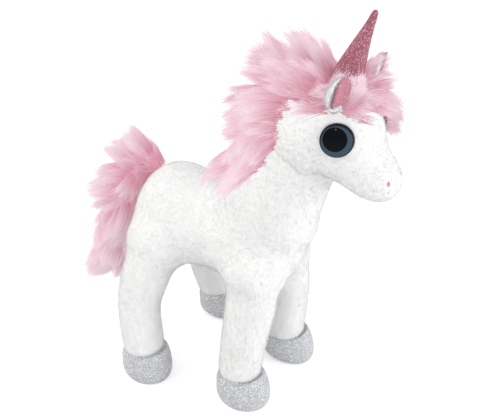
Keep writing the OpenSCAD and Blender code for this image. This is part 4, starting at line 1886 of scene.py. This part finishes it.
@dataclass
class Unicorn:
    """The whole toy."""

    build: Build = field(default_factory=Build)
    finishes: Finishes = field(default_factory=Finishes)
    skin_voxel: float = 1.8
    fill_rounds: int = 150
    fringe_strands: int = 8
    forelock_locks: int = 150
    neck_locks: int = 150
    crown_locks: int = 160
    tail_locks: int = 150

    def body(self) -> Shell:
        """Builds the one skin of torso and legs, the pile on it, and the hooves.

        Returns: the torso's part of the skin.
        """
        torso = Torso(build=self.build)
        legs = [Leg(build=self.build, pair=pair, side=side) for pair in Pair for side in Side]
        first, *rest = [shell for part in (torso, *legs) for shell in part.shells()]
        skin = fused(first.plus(*rest), self.skin_voxel).relaxed(4).filled(self.fill_rounds).relaxed(5)
        skin = subdivided(puffed(skin, pressure=4.0, frames=20, most=0.6))
        middles = skin.points[skin.faces].mean(1)
        on_torso = -1
        owner = np.full(len(middles), on_torso)
        for k, leg in enumerate(legs):
            owner[leg.holds(middles)] = k
        torso_skin = torso.cover(skin, owner == on_torso, Seed.TORSO_NAP, self.finishes)
        for k, leg in enumerate(legs):
            leg.cover(skin, owner == k, Seed.LEG_NAP + k, self.finishes)
            leg.hoof(self.finishes)
        return torso_skin

    def head(self, joints: dict[str, dict]) -> Shell:
        """Builds the head with eyes, nostrils, ears and horn.

        Args:
            joints: the part's joints, which hold the axes of the ears' folds.
        Returns: the head's skin.
        """
        eyes = [Eye(side) for side in Side]
        nostrils = [Nostril(side) for side in Side]
        skin = Head(self.build).sew(self.finishes, [piece.bare() for piece in (*eyes, *nostrils)])
        for side, eye, nostril in zip(Side, eyes, nostrils):
            eye.sew()
            nostril.sew(skin)
            Ear(side).sew(self.finishes, np.array(joints[f"{side.word}_ear_fold"]["axis"]))
        Horn().sew(self.finishes)
        return skin

    def tuft(self, pile: LongPile, name: str, body: str, locks: Locks, *nodes: str) -> None:
        """Grows one piece of long pile, which lets light through to what is under it.

        Args:
            pile: how it grows.
            name: the piece's name.
            body: the body that it rides on.
            locks: its locks.
            nodes: the CAD nodes that it stands for.
        """
        piece = dress(pile.grow(f"{name}_pile", locks), self.finishes.hair)
        settle(piece, body, Slot.PINK_PILE, *nodes)
        piece.visible_shadow = piece.visible_diffuse = False

    def tufts(self, head: Shell, torso: Shell) -> None:
        """Grows forelock, mane and tail, with their fringes and the cloth under them.

        Args:
            head: the head's skin.
            torso: the torso's skin.
        """
        hair = Hair(self.build, head, torso)
        fringes = [
            ("forelock", "head", head, hair.on_brow, (6.0, 0.0, 0.0), (0.5, -0.7, -0.1)),
            ("crown", "head", head, hair.on_crown, (0.0, -5.0, -4.0), (0.0, 0.75, -0.5)),
            ("neck_mane", "torso", torso, hair.on_crest, (0.0, -3.0, -7.0), (0.0, 0.55, -0.8)),
        ]
        for k, (name, body, skin, keep, inside, lie) in enumerate(fringes):
            locks = hair.fringe(skin, keep, inside, lie, Seed.FRINGE + k)
            pile = LongPile(Seed.FRINGE_STRANDS + k, per_lock=self.fringe_strands)
            self.tuft(pile, f"{name}_fringe", body, locks)
        grown = [("forelock", "head", hair.forelock(self.forelock_locks), "forelock")]
        grown.append(("neck_mane", "torso", hair.neck(self.neck_locks), "neck_mane"))
        for side in Side:
            crown = hair.crown(side, self.crown_locks)
            grown.append((f"crown_mane_{side.word}", "head", crown, "crown_mane"))
            grown.append((f"tail_{side.word}", "tail", hair.tail(side, self.tail_locks), "tail"))
        for k, tuft in enumerate(grown):
            self.tuft(LongPile(Seed.STRANDS + k), *tuft)
        backings = [
            ("tail_base", "tail", hair.tail_core()),
            ("forelock_base", "head", hair.backing(head, hair.on_brow, (0.0, 0.0, 0.0))),
            ("crown_base", "head", hair.backing(head, hair.on_crown, (0.0, -1.5, -1.5))),
            ("neck_mane_base", "torso", hair.backing(torso, hair.on_crest, (0.0, 0.0, -3.0))),
        ]
        for name, body, shell in backings:
            cloth = dress(shell.object(name), self.finishes.base)
            settle(cloth, body, Slot.PINK_PILE)
            cloth.visible_shadow = False

    def hidden(self, nodes: dict[str, bpy.types.Object]) -> None:
        """Dresses the CAD nodes that stay inside.

        Args:
            nodes: the CAD nodes.
        """
        black = Plain("eye back", colour(12, 12, 14), 0.3).material()
        white = Plain("eye washer", colour(222, 222, 220), 0.5).material()
        for side in Side:
            dress(nodes[f"{side.word}_eye_back"], black)
            dress(nodes[f"{side.word}_eye_washer"], white)


# The room


def aimed(place: Vector, back: Vector) -> Matrix:
    """Turns a camera or a lamp.

    Args:
        place: where it is, in metres.
        back: the way from what it looks at to it.
    Returns: its placing.
    """
    return Matrix.Translation(place) @ back.to_track_quat("Z", "Y").to_matrix().to_4x4()


@dataclass(frozen=True)
class Lamp:
    """A soft round lamp, its size the disk's width and its power in watts."""

    name: str
    place: Place
    size: float
    power: float
    tint: Place = (1.0, 1.0, 1.0)


@dataclass
class Studio:
    """Camera, lamps and floor."""

    target: Place = (0.0, -4.455, 81.0)
    azimuth: float = -55.0
    elevation: float = 29.7
    distance: float = 380.0
    sensor: float = 36.0
    focal_px: float = 832.2
    width_px: float = 500.0
    height_px: float = 416.0
    target_px: tuple[float, float] = (230.0, 218.0)
    room_light: float = 0.8
    floor_half: float = 3000.0
    floor_drop: float = 0.05
    floor_tone: float = 0.88
    floor_glow: float = 0.38
    lamps: tuple[Lamp, ...] = (
        Lamp("key", (160.0, -900.0, 240.0), 520.0, 2.7, (0.965, 0.985, 1.0)),
        Lamp("fill", (-330.0, 380.0, 560.0), 420.0, 1.3, (1.0, 0.99, 0.965)),
        Lamp("glint right", (-260.0, -480.0, 460.0), 50.0, 0.2),
        Lamp("glint left", (-480.0, -200.0, 460.0), 50.0, 0.2),
    )

    def camera(self) -> None:
        """Sets up the camera, which shows the target at its own pixel."""
        a, e = math.radians(self.azimuth), math.radians(self.elevation)
        back = Vector((math.cos(e) * math.sin(a), -math.cos(e) * math.cos(a), math.sin(e)))
        data = bpy.data.cameras.new("camera")
        data.sensor_width = self.sensor
        data.lens = self.sensor * self.focal_px / self.width_px
        data.shift_x = (self.width_px / 2 - self.target_px[0]) / self.width_px
        data.shift_y = (self.target_px[1] - self.height_px / 2) / self.width_px
        data.clip_start, data.clip_end = 0.01, 20.0
        camera = bpy.data.objects.new("camera", data)
        camera.matrix_world = aimed(Vector(self.target) * MM + back * self.distance * MM, back)
        bpy.context.scene.collection.objects.link(camera)
        bpy.context.scene.camera = camera

    def light(self) -> None:
        """Hangs the lamps, each turned to the target."""
        for lamp in self.lamps:
            data = bpy.data.lights.new(lamp.name, "AREA")
            data.shape, data.size, data.energy, data.color = "DISK", lamp.size * MM, lamp.power, lamp.tint
            hung = bpy.data.objects.new(lamp.name, data)
            hung.matrix_world = aimed(Vector(lamp.place) * MM, Vector(lamp.place) - Vector(self.target))
            bpy.context.scene.collection.objects.link(hung)

    def world(self) -> None:
        """Lights the room evenly and shows it white."""
        world = bpy.data.worlds.new("room")
        world.use_nodes = True
        bpy.context.scene.world = world
        n = Nodes(world.node_tree)
        strength = n.add("ShaderNodeMapRange", {"Value": n.seen(), "To Min": self.room_light, "To Max": 1.0})
        n.put(world.node_tree.nodes["Background"], {"Color": WHITE, "Strength": strength.outputs[0]})

    def floor(self) -> None:
        """Lays the floor, which shows lighter than the light that falls on it."""
        square = np.array([[-1, -1, 0], [1, -1, 0], [1, 1, 0], [-1, 1, 0]])
        corners = self.floor_half * square - np.array([0, 0, self.floor_drop])
        floor = Shell(corners, np.array([[0, 1, 2, 3]])).object("floor", False)
        made, n, shader = new_material("pale floor")
        n.put(shader, {
            "Base Color": (self.floor_tone, self.floor_tone, self.floor_tone, 1.0),
            "Roughness": 1.0,
            "Specular IOR Level": 0.0,
            "Emission Color": WHITE,
            "Emission Strength": n.math("MULTIPLY", n.seen(), self.floor_glow),
        })
        dress(floor, made)


def main() -> None:
    """Builds the scene."""
    logging.basicConfig(level=logging.INFO, format="%(message)s")
    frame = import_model()
    bpy.context.scene.view_settings.view_transform = "Standard"
    toy = Unicorn()
    torso = toy.body()
    head = toy.head({joint["name"]: joint for joint in frame["joints"]})
    toy.tufts(head, torso)
    toy.hidden(frame["nodes"])
    studio = Studio()
    studio.camera()
    studio.floor()
    studio.world()
    studio.light()


if __name__ == "__main__":
    main()
